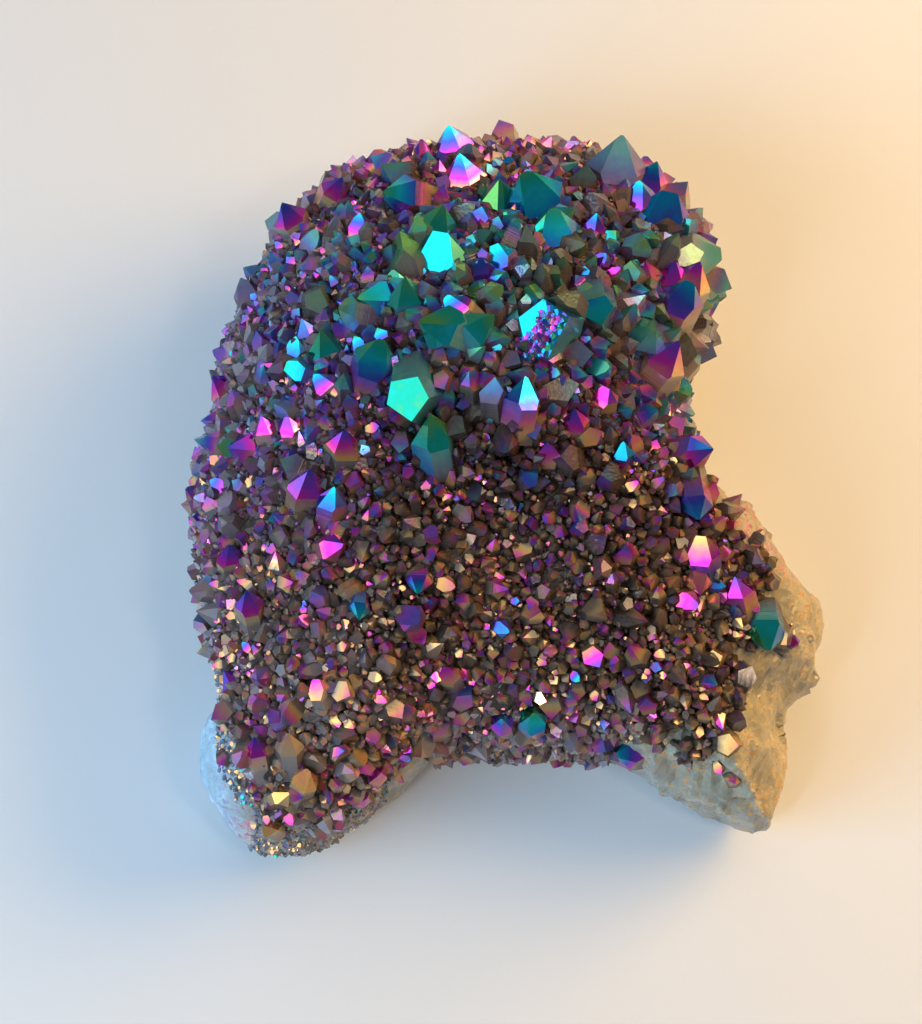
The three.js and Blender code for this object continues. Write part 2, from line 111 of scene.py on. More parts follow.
# x, y, height of the rim and width of the bare rock inside it
RIM = np.array([
    [27.5, -2.5, 9, 7], [33.4, -10.3, 8, 11], [37.6, -16.4, 8, 11], [38.2, -20.5, 7, 11],
    [37.3, -23.5, 7, 10], [33.0, -26.6, 8, 8], [31.9, -30.0, 7, 11], [32.2, -34.5, 6, 12],
    [30.8, -41.2, 4, 13], [28.0, -42.0, 3, 12], [21.8, -38.8, 4, 8], [16.5, -35.2, 4, 4],
    [11.5, -32.8, 5, 0], [4.0, -32.3, 5, 0], [-6.5, -32.5, 5, 0], [-10.5, -35.0, 4, 2],
    [-15.0, -39.0, 3, 2], [-20.0, -42.6, 3, 2], [-27.4, -43.4, 3, 3], [-31.0, -41.0, 4, 6],
    [-33.6, -36.0, 4, 7], [-33.6, -30.5, 5, 6], [-32.3, -26.5, 6, 3], [-33.6, -20.0, 7, 0],
    [-34.5, -12.0, 7, 0], [-35.7, -3.0, 7, 0], [-35.2, 2.5, 7, 0], [-32.6, 9.5, 8, 0],
    [-32.9, 14.5, 8, 0], [-29.9, 23.9, 8, 0], [-25.6, 32.0, 10, 0], [-19.4, 38.2, 12, 0],
    [-10.0, 41.4, 12, 0], [0.0, 42.0, 12, 0], [11.0, 41.6, 12, 0], [18.0, 38.4, 12, 0],
    [22.6, 33.2, 11, 0], [24.8, 26.8, 10, 0], [23.9, 20.2, 9, 0], [20.8, 11.0, 9, 0],
    [21.6, 5.0, 9, 0], [24.5, -0.5, 9, 3],
])


def hill(at, x, y):
    """1 in the middle of a smooth spot, falling to 0; the spot is x, y and its widths along both."""
    return np.exp(-((x - at[0]) / at[2]) ** 2 - ((y - at[1]) / at[3]) ** 2)


def rim_towards(angle):
    """Radius, height and bare width of the rim at each angle round the middle of the dome."""
    a = RIM[:, :2] - HEART
    b = np.roll(a, -1, axis=0)
    ux, uy = np.cos(angle)[:, None], np.sin(angle)[:, None]
    over_a = ux * a[:, 1] - uy * a[:, 0]
    over_b = b[:, 0] * uy - b[:, 1] * ux
    both = over_a + over_b
    share = np.where(both == 0, 0, over_a / np.where(both == 0, 1, both))
    ahead = (a[:, 0] + (b[:, 0] - a[:, 0]) * share) * ux + (a[:, 1] + (b[:, 1] - a[:, 1]) * share) * uy
    fits = (over_a >= 0) & (over_b >= 0) & (both != 0) & (ahead > 0)
    side = fits.argmax(axis=1)
    row = np.arange(len(angle))
    t = share[row, side]
    height, bare = (RIM[side, k] + (np.roll(RIM, -1, axis=0)[side, k] - RIM[side, k]) * t for k in (2, 3))
    return ahead[row, side], height, bare


def full_height(x, y):
    """Height of the dome before its edge is rounded off."""
    swell = np.sin(LUMP_X[0] * x + LUMP_X[1]) * np.cos(LUMP_Y[0] * y + LUMP_Y[1])
    swell = swell + ACROSS_SHARE * np.sin(LUMP_ACROSS * (x + y))
    return DOME_TOP + CREST_RISE * hill(CREST, x, y) + LUMP * swell


def dome_point(angle, lift):
    """The points of the dome at each angle and lift."""
    radius, height, _ = rim_towards(angle)
    reach = radius * np.maximum(np.cos(lift), 0) ** (2 / DOME_POWER)
    x, y = HEART[0] + reach * np.cos(angle), HEART[1] + reach * np.sin(angle)
    z = height + (full_height(x, y) - height) * np.sin(lift) ** (2 / DOME_POWER)
    return np.stack([x, y, z], axis=1)


def unit(vectors):
    return vectors / np.linalg.norm(vectors, axis=-1, keepdims=True)


def dome_normal(angle, lift, step=0.02):
    low, high = np.maximum(lift - step, 0), np.minimum(lift + step, math.pi / 2 - 1e-3)
    up = dome_point(angle, high) - dome_point(angle, low)
    along = dome_point(angle + step, lift) - dome_point(angle - step, lift)
    return unit(np.cross(along, up))


def dome_place(x, y):
    """The angle and lift of the dome's points above x and y."""
    angle = np.arctan2(y - HEART[1], x - HEART[0])
    share = np.minimum(np.hypot(x - HEART[0], y - HEART[1]) / rim_towards(angle)[0], 1)
    return angle, np.arccos(share ** (DOME_POWER / 2))


top_of_dome = dome_point(np.array([0.0]), np.array([math.pi / 2]))[0]
print("dome top, mm:", top_of_dome.round(1))

# %% [markdown]
# ## The rock
# The matrix is dull, broken rock, cut flat below, that shows only on its ledges and round the
# rim. It could be sculpted by hand, but then the crystals couldn't be rooted by formula. So rings of
# points make the rough dome, and three convex lumps stand for the ledges where the rock broke. A
# voxel remesh welds them into one even skin, close enough for noise to shape.

# %% Rings of the rough dome
AROUND, UP_DOME = 168, 26
# share of the rim's radius and share of its height, from the ground up
WALL_RINGS = ((0.87, 0), (0.93, 0.2), (0.965, 0.45), (0.985, 0.75))
LAST_LIFT = math.pi / 2 * 0.985


def new_mesh(name, points, faces):
    mesh = bpy.data.meshes.new(name)
    mesh.from_pydata(np.asarray(points).tolist(), [], [list(map(int, f)) for f in faces])
    return mesh


def new_object(name, mesh):
    made = bpy.data.objects.new(name, mesh)
    bpy.context.collection.objects.link(made)
    return made


def rough_rock():
    angle = np.arange(AROUND) * 2 * math.pi / AROUND
    radius, height, _ = rim_towards(angle)
    rings = []
    for reach, level in WALL_RINGS:
        x, y = HEART[0] + reach * radius * np.cos(angle), HEART[1] + reach * radius * np.sin(angle)
        rings.append(np.stack([x, y, height * level], axis=1))
    for lift in np.linspace(0, LAST_LIFT, UP_DOME):
        rings.append(dome_point(angle, np.full(AROUND, lift)))
    points = np.concatenate([[[*HEART, 0.0]], *rings, [top_of_dome]])
    faces, last, following = [], len(points) - 1, lambda i: (i + 1) % AROUND
    for i in range(AROUND):
        faces.append((0, 1 + following(i), 1 + i))
        for ring in range(len(rings) - 1):
            low = 1 + ring * AROUND
            faces.append((low + i, low + following(i), low + AROUND + following(i), low + AROUND + i))
        faces.append((last - AROUND + i, last - AROUND + following(i), last))
    return new_mesh("rough_rock", points, faces)


rock = new_object("matrix_rock", rough_rock())
print("rough dome:", len(rock.data.vertices), "points")

# %% Ledges and one even skin
LEDGES = [
    [(22.0, -29.5, 19.3), (25.8, -35.8, 16.3), (28.8, -39.8, 12.2), (29.6, -40.6, 8.5),
     (23.4, -37.6, 9.0), (19.5, -33.5, 13.0), (31.4, -34.0, 6.5), (29.5, -29.0, 11.0),
     (25.5, -26.5, 15.0)],
    [(28.5, -7.0, 16.3), (34.0, -13.2, 13.9), (37.2, -18.6, 11.6), (36.6, -22.6, 11.4),
     (32.6, -25.2, 13.3), (29.0, -21.0, 18.0), (27.5, -14.0, 20.4), (30.0, -10.0, 8.0),
     (36.3, -17.0, 6.0), (35.5, -22.4, 6.0), (31.0, -22.0, 8.0)],
    [(-33.3, -28.0, 9.0), (-33.8, -32.0, 9.8), (-33.6, -35.5, 9.2), (-31.2, -39.6, 9.6),
     (-29.5, -36.0, 13.5), (-30.5, -30.0, 15.0), (-32.5, -30.0, 5.0), (-31.5, -38.0, 4.5),
     (-28.0, -34.0, 8.0)],
]
ROCK_VOXEL = 0.5


def hull_mesh(name, corners):
    lump = bmesh.new()
    for corner in corners:
        lump.verts.new(corner)
    bmesh.ops.convex_hull(lump, input=lump.verts)
    mesh = bpy.data.meshes.new(name)
    lump.to_mesh(mesh)
    lump.free()
    return mesh


def unite(thing, others):
    """Gives a thing a boolean union with each of the others."""
    for other in others:
        join = thing.modifiers.new(other.name, "BOOLEAN")
        join.object, join.operation, join.solver = other, "UNION", "MANIFOLD"


def applied(thing):
    """The mesh of an object with its modifiers applied."""
    graph = bpy.context.evaluated_depsgraph_get()
    mesh = bpy.data.meshes.new_from_object(thing.evaluated_get(graph))
    thing.modifiers.clear()
    return mesh


def points_of(mesh):
    points = np.empty(len(mesh.vertices) * 3)
    mesh.vertices.foreach_get("co", points)
    return points.reshape(-1, 3)


ledges = [new_object(f"ledge_{n}", hull_mesh(f"ledge_{n}", corners)) for n, corners in enumerate(LEDGES)]
unite(rock, ledges)
even = rock.modifiers.new("even", "REMESH")
even.mode, even.voxel_size = "VOXEL", ROCK_VOXEL
rock.data = applied(rock)
for ledge in ledges:
    bpy.data.objects.remove(ledge)
print("rock skin:", len(rock.data.vertices), "points")

# %% [markdown]
# ## Breaks in the rock
# Rock of this kind breaks in flat plates at many slants, with small steps between them. Folded noise
# alone looks like soft wrinkles, so cells of Voronoi noise give each plate one slope, and of the
# nearest cells the lowest plane wins. Broad swells, low ridges and a fine grain come on top, and
# one ledge has a fan of fine flutes. The cut underneath stays flat.

# %% Flat plates
PLATES_PER_MM, PLATE_SLOPE, PLATE_STEP, PLATE_HOLD = 0.15, 3.2, 0.9, 3.0
# these spread the middles of neighbouring cells out in the noise, so that each has its own value
SLOPE_SPREAD, STEP_SPREAD = 5.7, 3.1


def plate_height(at):
    """The lowest of the sloping planes that belong to the nearest cells."""
    gaps, middles = noise.voronoi(at * PLATES_PER_MM)
    heights = []
    for gap, middle in zip(gaps, middles):
        slope = noise.noise_vector(middle * SLOPE_SPREAD) * PLATE_SLOPE
        step = PLATE_STEP * noise.noise(middle * STEP_SPREAD)
        heights.append((at * PLATES_PER_MM - middle) @ slope + step + PLATE_HOLD * (gap - gaps[0]))
    return min(heights)


print("plates are about", round(1 / PLATES_PER_MM, 1), "mm wide")

# %% Chip the rock
CHIP_DEPTH, CHIP_SEED, CHIP_MIDDLE = 0.85, 12, 0.1
SWELL, SWELLS_PER_MM = 0.5, 0.11
RIDGE, RIDGE_MIDDLE, RIDGES_PER_MM = 0.25, 0.6, (0.34, 0.34, 0.6)
BEND, BENDS_PER_MM = 0.6, 0.25
GRAIN, GRAINS_PER_MM = 0.05, 2.3
FLAT_BELOW, FLAT_FADE, LEAST_LIFT = 0.4, 1.5, 0.02
FAN_FROM, FAN_SPOT = (24.0, -22.0), (21.0, -37.0, 8.0, 7.0)
FLUTES, FLUTE_DEPTH = 58, 0.30


def fluted(x, y):
    """A fan of fine flutes that spreads from one point over one ledge."""
    turn = np.arctan2(x - FAN_FROM[0], FAN_FROM[1] - y)
    return FLUTE_DEPTH * hill(FAN_SPOT, x, y) * (np.abs(np.sin(FLUTES * turn / 2)) - 0.5)


def chipped(mesh):
    points = points_of(mesh)
    normals = np.empty(len(points) * 3)
    mesh.vertices.foreach_get("normal", normals)
    normals = normals.reshape(-1, 3)
    depth = np.empty(len(points))
    for i, p in enumerate(points):
        at = Vector(p)
        bent = Vector(p * RIDGES_PER_MM) + noise.noise_vector(at * BENDS_PER_MM) * BEND
        ridges = 1 - 2 * abs(noise.noise(bent))
        depth[i] = (SWELL * noise.noise(at * SWELLS_PER_MM) + RIDGE * (ridges - RIDGE_MIDDLE)
                    + plate_height(at) + GRAIN * noise.noise(at * GRAINS_PER_MM))
    depth += fluted(points[:, 0], points[:, 1])
    keep = np.clip((points[:, 2] - FLAT_BELOW) / FLAT_FADE, 0, 1)
    moved = points + normals * (CHIP_DEPTH * (depth - CHIP_MIDDLE) * keep)[:, None]
    moved[:, 2] = np.where(points[:, 2] < FLAT_BELOW, 0, np.maximum(moved[:, 2], LEAST_LIFT))
    mesh.vertices.foreach_set("co", moved.ravel())
    mesh.update()


# without a seed of its own the vector noise would start differently each time
noise.seed_set(CHIP_SEED)
chipped(rock.data)
rock_points = points_of(rock.data)
print("rock, mm:", rock_points.min(axis=0).round(1), rock_points.max(axis=0).round(1))

# %% [markdown]
# ## One crystal
# Quartz grows as a six-sided prism that ends in a point of six faces, three large and three small,
# each leaning the same way from the long axis. A crystal here is the space that a list of planes
# encloses, which keeps every face truly flat. Its corners are the places where three planes meet
# and no other plane cuts them off. All crystals are solved at once, as arrays.

# %% Planes of a crystal
PLANES = 13
SIDE, END, ROOT_FACE = 1, 2, 3
FACE_TO_AXIS = math.radians(51.8)
SLIMMEST, SIDE_UNEVEN = 0.84, 0.30
FACE_UNEVEN = 0.04
# how far each end face stands back from the tip, in widths, going round from the main face
SHAPES = {
    "point": (0, 0.01, 0, 0.01, 0, 0.01),
    "chisel": (0, 0.10, 0.10, 0, 0.10, 0.10),
    "broad": (0, 0.09, 0.12, 0.11, 0.12, 0.09),
    "three": (0, 0.24, 0.03, 0.28, 0.06, 0.24),
    "lone": (0, 0.20, 0.26, 0.32, 0.26, 0.20),
    "worn": (0, 0.02, 0.05, 0.03, 0.05, 0.02),
}


def crystal_planes(width, length, steep, shape, draws):
    """Plane normals (n, 13, 3), distances (n, 13) and kinds (13), tip at 0 and long axis along z."""
    count = len(width)
    sine, cosine = np.sin(FACE_TO_AXIS + steep)[:, None], np.cos(FACE_TO_AXIS + steep)[:, None]
    normals, gaps, kinds = np.zeros((count, PLANES, 3)), np.zeros((count, PLANES)), []
    for side in range(6):
        azimuth = side * math.pi / 3
        outwards = np.array([math.cos(azimuth), math.sin(azimuth), 0])
        leaning = outwards * sine + np.array([0, 0, 1]) * cosine
        apothem = width / 2 * (SLIMMEST + SIDE_UNEVEN * draws[:, 2 * side])
        back = shape[:, side] + (FACE_UNEVEN * draws[:, 2 * side + 1] if side else 0)
        normals[:, 2 * side], gaps[:, 2 * side] = outwards, apothem
        normals[:, 2 * side + 1], gaps[:, 2 * side + 1] = leaning, width * back
        kinds += [SIDE, END]
    normals[:, -1], gaps[:, -1] = (0, 0, -1), length
    return normals, gaps, np.array(kinds + [ROOT_FACE])


print("a crystal's planes:", PLANES, "and shapes:", list(SHAPES))

# %% Corners and faces of a crystal
TRIPLES = np.array(list(itertools.combinations(range(PLANES), 3)))
PARALLEL, INSIDE_BY, CORNER_MERGE = 1e-6, 1e-5, 2e-4


def crystal_bodies(normals, gaps):
    """For each crystal its corners (m, 3) and its faces as (plane number, corner numbers in order)."""
    a, b, c = (normals[:, TRIPLES[:, k]] for k in range(3))
    ga, gb, gc = (gaps[:, TRIPLES[:, k], None] for k in range(3))
    bc = np.cross(b, c)
    volume = (a * bc).sum(axis=2)
    safe = np.where(np.abs(volume) < PARALLEL, 1, volume)[:, :, None]
    met = (bc * ga + np.cross(c, a) * gb + np.cross(a, b) * gc) / safe
    inside = (np.einsum("ntc,npc->ntp", met, normals) <= gaps[:, None, :] + INSIDE_BY).all(axis=2)
    inside &= np.abs(volume) >= PARALLEL
    bodies = []
    for n in range(len(normals)):
        corners, planes_at = [], []
        for t in np.nonzero(inside[n])[0]:
            point = met[n, t]
            for known, planes in zip(corners, planes_at):
                if abs(known - point).max() < CORNER_MERGE:
                    planes.update(TRIPLES[t])
                    break
            else:
                corners.append(point)
                planes_at.append(set(TRIPLES[t]))
        corners, faces = np.array(corners), []
        for plane in range(PLANES):
            on = [i for i, planes in enumerate(planes_at) if plane in planes]
            if len(on) < 3:
                continue
            normal = normals[n, plane]
            middle = corners[on].mean(axis=0)
            across = unit(corners[on[0]] - middle)
            beside = np.cross(normal, across)
            spoke = corners[on] - middle
            on = [on[i] for i in np.argsort(np.arctan2(spoke @ beside, spoke @ across))]
            faces.append((plane, on))
        bodies.append((corners, faces))
    return bodies


print("corners tried for each crystal:", len(TRIPLES))

# %% [markdown]
# ## Where the crystals stand
# The largest crystals are listed one by one: each is followed down its line of sight until its tip is
# near the rock, and turned so that its main face looks a chosen way. The last two numbers of a row
# give the film at its tip, from 0.1 for gold to 1 for green, and how far it thins down the face. All
# the other crystals are placed by chance, because nobody could list thousands of them by hand.

# %% The largest crystals
# tip's u and v, width, u and v that the main face looks to, direction of the tip in degrees,
# turn about the long axis, shape of the tip, film at the tip, how much thinner it is down the face
LARGE = [
    # the crest
    (-2.4, 32.2, 6.0, -0.40, 0.05, 78, 0, "chisel", 0.78, 0.02),
    (4.4, 38.2, 4.8, 0.00, -0.05, 88, 30, "point", 0.98, 0.10),
    (-0.2, 41.2, 5.1, -0.38, 0.02, 88, 0, "point", 0.82, 0.80),
    (-1.5, 44.4, 4.2, -0.36, 0.04, 95, 0, "point", 0.80, 0.55),
    (-8.9, 36.9, 5.1, 0.10, 0.20, 178, 0, "point", 0.95, 0.50),
    (7.6, 38.4, 6.4, 0.12, 0.00, 118, 0, "broad", 0.90, 0.30),
    (10.6, 34.3, 4.9, 0.16, -0.05, 100, 0, "broad", 0.88, 0.30),
    (-2.0, 35.3, 5.3, -0.05, 0.00, 75, 0, "point", 0.96, 0.15),
    (2.3, 29.2, 4.4, 0.15, -0.25, 95, 0, "point", 0.62, 0.15),
    (3.8, 30.7, 3.4, -0.42, 0.05, 110, 0, "chisel", 0.82, 0.35),
    (15.6, 34.3, 3.2, -0.40, 0.05, 60, 0, "point", 0.76, 0.50),
    (-4.8, 21.9, 5.4, 0.05, 0.30, 175, 30, "point", 0.98, 0.15),
    (3.8, 22.7, 4.6, 0.10, 0.25, 30, 30, "point", 1.00, 0.20),
    (-1.5, 24.4, 3.6, -0.38, 0.05, 130, 0, "broad", 0.74, 0.70),
    (11.8, 22.2, 7.2, -0.42, 0.06, 12, 0, "three", 0.72, -0.08),
    (-5.8, 10.9, 5.8, -0.31, 0.05, 280, 0, "three", 0.88, 0.03),
    (-3.6, 11.2, 4.6, 0.05, 0.40, 100, 0, "point", 0.96, 0.10),
    (-11.7, 24.6, 4.8, 0.05, 0.00, 178, 30, "point", 0.93, 0.25),
    (-9.3, 19.2, 4.8, -0.05, -0.10, 70, 0, "broad", 0.90, 0.35),
    (-16.1, 20.9, 4.2, 0.00, 0.05, 110, 0, "point", 0.96, 0.15),
    (-6.4, 27.0, 4.6, 0.10, 0.05, 100, 0, "point", 0.93, 0.10),
    (7.4, 15.5, 4.2, 0.32, 0.36, 90, 0, "point", 0.84, 0.30),
    # the right shoulder
    (18.4, 43.0, 6.4, 0.10, 0.20, 85, 0, "worn", 0.84, 0.35),
    (22.5, 40.2, 4.4, 0.10, 0.10, 75, 0, "point", 0.78, 0.45),
    (20.4, 37.6, 3.7, -0.42, 0.05, 70, 0, "broad", 0.70, 0.40),
    (24.0, 36.8, 5.8, 0.20, 0.05, 80, 0, "chisel", 0.68, 0.10),
    (27.5, 28.8, 4.8, 0.10, 0.10, 80, 0, "point", 0.45, 0.30),
    (26.1, 26.0, 4.8, 0.10, 0.15, 95, 0, "broad", 0.68, 0.25),
    (24.6, 28.8, 4.0, 0.05, -0.05, 90, 0, "point", 0.52, 0.20),
    (16.0, 21.9, 4.0, -0.12, 0.10, 275, 0, "three", 0.86, 0.20),
    (21.2, 28.8, 3.0, -0.10, -0.20, 90, 0, "point", 0.42, 0.20),
    (18.3, 28.1, 2.5, -0.40, 0.05, 20, 0, "point", 0.42, 0.10),
    (22.7, 17.8, 4.0, -0.42, 0.05, 55, 0, "point", 0.72, 0.25),
    (24.4, 16.7, 3.2, -0.40, -0.02, 60, 0, "point", 0.46, 0.30),
    (25.0, 19.6, 4.9, 0.15, 0.15, 80, 0, "point", 0.52, 0.25),
    (16.7, 14.3, 3.0, -0.42, 0.05, 60, 0, "chisel", 0.42, 0.15),
    (13.0, 11.8, 3.0, 0.05, -0.10, 95, 0, "point", 0.60, 0.30),
    (18.7, 8.1, 2.6, -0.42, 0.05, 80, 0, "point", 0.76, 0.15),
    # the left side
    (-16.7, 15.5, 3.0, -0.38, 0.02, 130, 0, "broad", 0.66, 0.50),
    (-13.3, 9.4, 4.2, 0.10, -0.15, 90, 0, "point", 0.60, 0.50),
    (-22.9, 11.0, 3.0, -0.36, 0.00, 95, 0, "point", 0.46, 0.15),
    (-20.0, 10.6, 2.5, -0.40, 0.03, 90, 0, "broad", 0.45, 0.15),
    (-26.7, 7.5, 3.9, 0.05, 0.05, 175, 30, "point", 0.55, 0.30),
    (-17.4, 4.8, 4.2, 0.15, -0.20, 90, 0, "point", 0.58, 0.20),
    (-14.6, 2.9, 3.6, -0.30, 0.10, 70, 0, "point", 0.74, 0.20),
    (-20.2, 16.8, 3.1, -0.40, 0.00, 160, 0, "chisel", 0.84, 0.20),
    (-24.6, -9.0, 3.6, 0.00, 0.10, 100, 0, "point", 0.58, 0.30),
    (-13.6, -3.8, 3.4, -0.25, -0.10, 10, 0, "point", 0.44, 0.15),
    (-26.6, -3.8, 3.1, 0.10, -0.10, 100, 0, "point", 0.60, 0.30),
    (-20.6, 35.6, 3.6, -0.10, 0.10, 120, 0, "point", 0.60, 0.30),
    (-13.6, 38.4, 3.4, 0.05, 0.10, 60, 0, "point", 0.56, 0.30),
    (-28.6, 15.6, 3.4, -0.05, -0.05, 120, 0, "point", 0.52, 0.30),
    # the lower face
    (28.9, 7.2, 4.0, -0.10, 0.00, -5, 30, "point", 0.60, 0.25),
    (27.3, -0.8, 3.5, 0.00, 0.05, 272, 0, "point", 0.66, 0.15),
    (27.6, -2.9, 3.7, -0.38, 0.05, 85, 0, "chisel", 0.14, -0.28),
    (31.5, -7.5, 3.3, -0.40, 0.02, 90, 0, "point", 0.50, 0.15),
    (26.9, -10.8, 2.7, -0.42, 0.05, 340, 0, "broad", 0.44, 0.20),
    (35.3, -15.4, 3.6, 0.05, 0.10, 270, 0, "broad", 0.90, 0.10),
    (27.5, -9.5, 2.6, 0.05, 0.00, 270, 0, "point", 0.30, 0.10),
    (-4.9, -9.4, 2.6, 0.00, 0.10, 268, 0, "point", 0.84, 0.45),
    (-11.7, -12.4, 2.2, 0.00, 0.05, 265, 0, "point", 0.80, 0.15),
    (4.7, -23.9, 2.6, -0.35, 0.05, 88, 0, "point", 0.76, 0.35),
    (8.3, -23.5, 2.9, 0.15, 0.00, 95, 0, "broad", 0.90, 0.15),
    (-1.7, -17.9, 2.7, -0.42, 0.04, 100, 0, "chisel", 0.42, 0.30),
    (-16.7, -19.3, 2.5, -0.42, 0.05, 95, 0, "chisel", 0.36, 0.25),
    (18.4, -27.9, 3.3, -0.42, 0.05, 95, 0, "broad", 0.74, 0.45),
    (-9.3, -30.0, 2.3, -0.40, 0.05, 90, 0, "point", 0.42, 0.10),
    (-10.8, -32.8, 2.0, -0.42, 0.05, 60, 0, "point", 0.41, 0.10),
    # the left foot
    (-23.8, -26.0, 2.8, 0.05, 0.10, 100, 0, "point", 0.55, 0.20),
    (-19.9, -25.6, 2.8, -0.05, 0.10, 90, 0, "worn", 0.14, 0.05),
    (-19.6, -32.3, 2.4, -0.20, 0.05, 20, 0, "point", 0.16, 0.05),
    (-21.2, -36.6, 2.4, -0.20, 0.05, 60, 0, "point", 0.15, 0.05),
    (-17.7, -30.0, 3.0, -0.15, 0.10, 60, 0, "broad", 0.17, 0.08),
]
print("large crystals listed:", len(LARGE))

# %% Stand the largest crystals on the rock
STAND, SHOWN = 0.85, 0.7
UPRIGHT = 0.6
ROOT, ROOTED = 2.6, 1.5
SIGHT_NEARER, SIGHT_FARTHER, SIGHT_STEP = 60, 40, 0.1
WORN_COAT = 0.40
FIRST_SEED, ALL_BITS = 1000, 0xFFFFFFFF


def stream(seed):
    """A repeatable stream of numbers from 0 to 1, the same one that the solid model draws."""
    state = seed & ALL_BITS
    while True:
        state = (state + 0x6D2B79F5) & ALL_BITS
        blend = ((state ^ state >> 15) * (state | 1)) & ALL_BITS
        blend = ((blend + (((blend ^ blend >> 7) * (blend | 61)) & ALL_BITS)) ^ blend) & ALL_BITS
        yield (blend ^ blend >> 14) / (ALL_BITS + 1)


def large_crystals():
    eye = LOOK_AT + LOOK_BACK * LOOK_DISTANCE
    gone = np.arange(LOOK_DISTANCE - SIGHT_NEARER, LOOK_DISTANCE + SIGHT_FARTHER, SIGHT_STEP)
    found = []
    for number, (u, v, width, face_u, face_v, narrows, turn, shape, film, drop) in enumerate(LARGE):
        sight = unit(LOOK_AT + in_view(u, v, 0) - eye)
        tips = eye + gone[:, None] * sight
        place = dome_place(tips[:, 0], tips[:, 1])
        above = tips - dome_point(*place)
        normal = dome_normal(*place)
        rise = np.linalg.norm(above, axis=1)
        near = (rise < 2 * width) & ((above * normal).sum(axis=1) < SHOWN * STAND * width)
        stop = near.argmax() if near.any() else rise.argmin()
        face = in_view(face_u, face_v, math.sqrt(1 - face_u**2 - face_v**2))
        to_tip = in_view(math.cos(math.radians(narrows)), math.sin(math.radians(narrows)), 0)
        to_tip = unit(to_tip - (to_tip @ face) * face)
        axis = face * math.cos(FACE_TO_AXIS) + to_tip * math.sin(FACE_TO_AXIS)
        axis = unit(axis + normal[stop] * max(0, UPRIGHT - axis @ normal[stop]))
        draws = stream(FIRST_SEED + number)
        end = tips[stop] - axis * (STAND * width + ROOT)
        under = dome_point(*dome_place(end[:1], end[1:2]))[0]
        root = ROOT + max(0, (end - under) @ normal[stop] + ROOTED) / UPRIGHT
        found.append(dict(tip=tips[stop], axis=axis, face=face, width=width, stand=STAND * width,
                          root=root, film=film, drop=drop, coat=WORN_COAT if shape == "worn" else 1.0,
                          steep=0.0, turn=math.radians(turn), shape=SHAPES[shape],
                          draws=[next(draws) for _ in range(12)]))
    return found


largest = large_crystals()
print("placed by hand:", len(largest))

# %% [markdown]
# ## Room to grow
# Where two crystals start close together one soon buries the other, so the feet in a druse keep
# their distance. Blender can scatter points at one fixed distance, but the wanted width changes over
# this crust: coarse on the crest and the shoulder, and coarse again at the back. Each foot is
# measured against the ones near it instead, and cells of a grid keep that quick.

# %% Usual widths and taken feet
CREST_CRYSTALS = (-3, 16, 16, 13)
SHOULDER_CRYSTALS = (20, 20, 11, 18)
CRUST_WIDTH, CREST_EXTRA, BACK_EXTRA = 2.2, 2.1, 1.0
BACK_START, BACK_FULL = 24, 38
FOOT_CELL = 4.0
CLOSE = 0.55
NEIGHBOURS = list(itertools.product((-1, 0, 1), repeat=3))


def at_back(y):
    """0 over most of the crust, rising to 1 along its back."""
    return np.clip((y - BACK_START) / (BACK_FULL - BACK_START), 0, 1)


def usual_width(x, y):
    coarse = np.maximum(hill(CREST_CRYSTALS, x, y), hill(SHOULDER_CRYSTALS, x, y))
    return CRUST_WIDTH + np.maximum(CREST_EXTRA * coarse, BACK_EXTRA * at_back(y))


class Cells:
    """Places with a size each, kept by the cell they lie in, so that near ones are quick to find."""

    def __init__(self, cell):
        self.cell, self.kept = cell, {}

    def key(self, place):
        return tuple(int(v // self.cell) for v in place)

    def add(self, place, size):
        self.kept.setdefault(self.key(place), []).append((place, size))

    def near(self, place):
        a, b, c = self.key(place)
        for i, j, k in NEIGHBOURS:
            yield from self.kept.get((a + i, b + j, c + k), ())


def has_room(foot, width, spacing):
    gaps = ((other - foot, wide) for other, wide in taken.near(foot))
    return all(gap @ gap >= (spacing * (width + wide) / 2) ** 2 for gap, wide in gaps)


taken = Cells(FOOT_CELL)
for crystal in largest:
    taken.add(crystal["tip"] - crystal["axis"] * crystal["stand"], CLOSE * crystal["width"])
print("cells with a large crystal's foot:", len(taken.kept))

# %% [markdown]
# ## Rounds of chance crystals
# In a druse each crystal stands roughly square to the rock, with a lean of its own, and a few happen
# to turn a face so that it flashes. The first round sets the usual crystals of each part of the
# crust, and two finer ones fill the crevices between them. A last round strews the bare rock with
# grains of quartz. One function grows every round from a row of numbers, which is easier to steer
# than crystals placed one by one. No chance crystal may hide the main face of a large one.

# %% Places to try
LIFT_POWER, LIFT_SHARE = 0.8, 0.985
GRAIN_ANGLES, GRAIN_LIFT = (3.72, 4.46), 0.62
# the edge of the crust wanders in and out by these shares of the bare strip
EDGE_USUAL, EDGE_RAGGED, EDGE_PER_MM = 0.8, 0.7, 0.45
LEAST_BARE = 0.5
rock_skin = BVHTree.FromPolygons(rock_points.tolist(), [list(p.vertices) for p in rock.data.polygons])


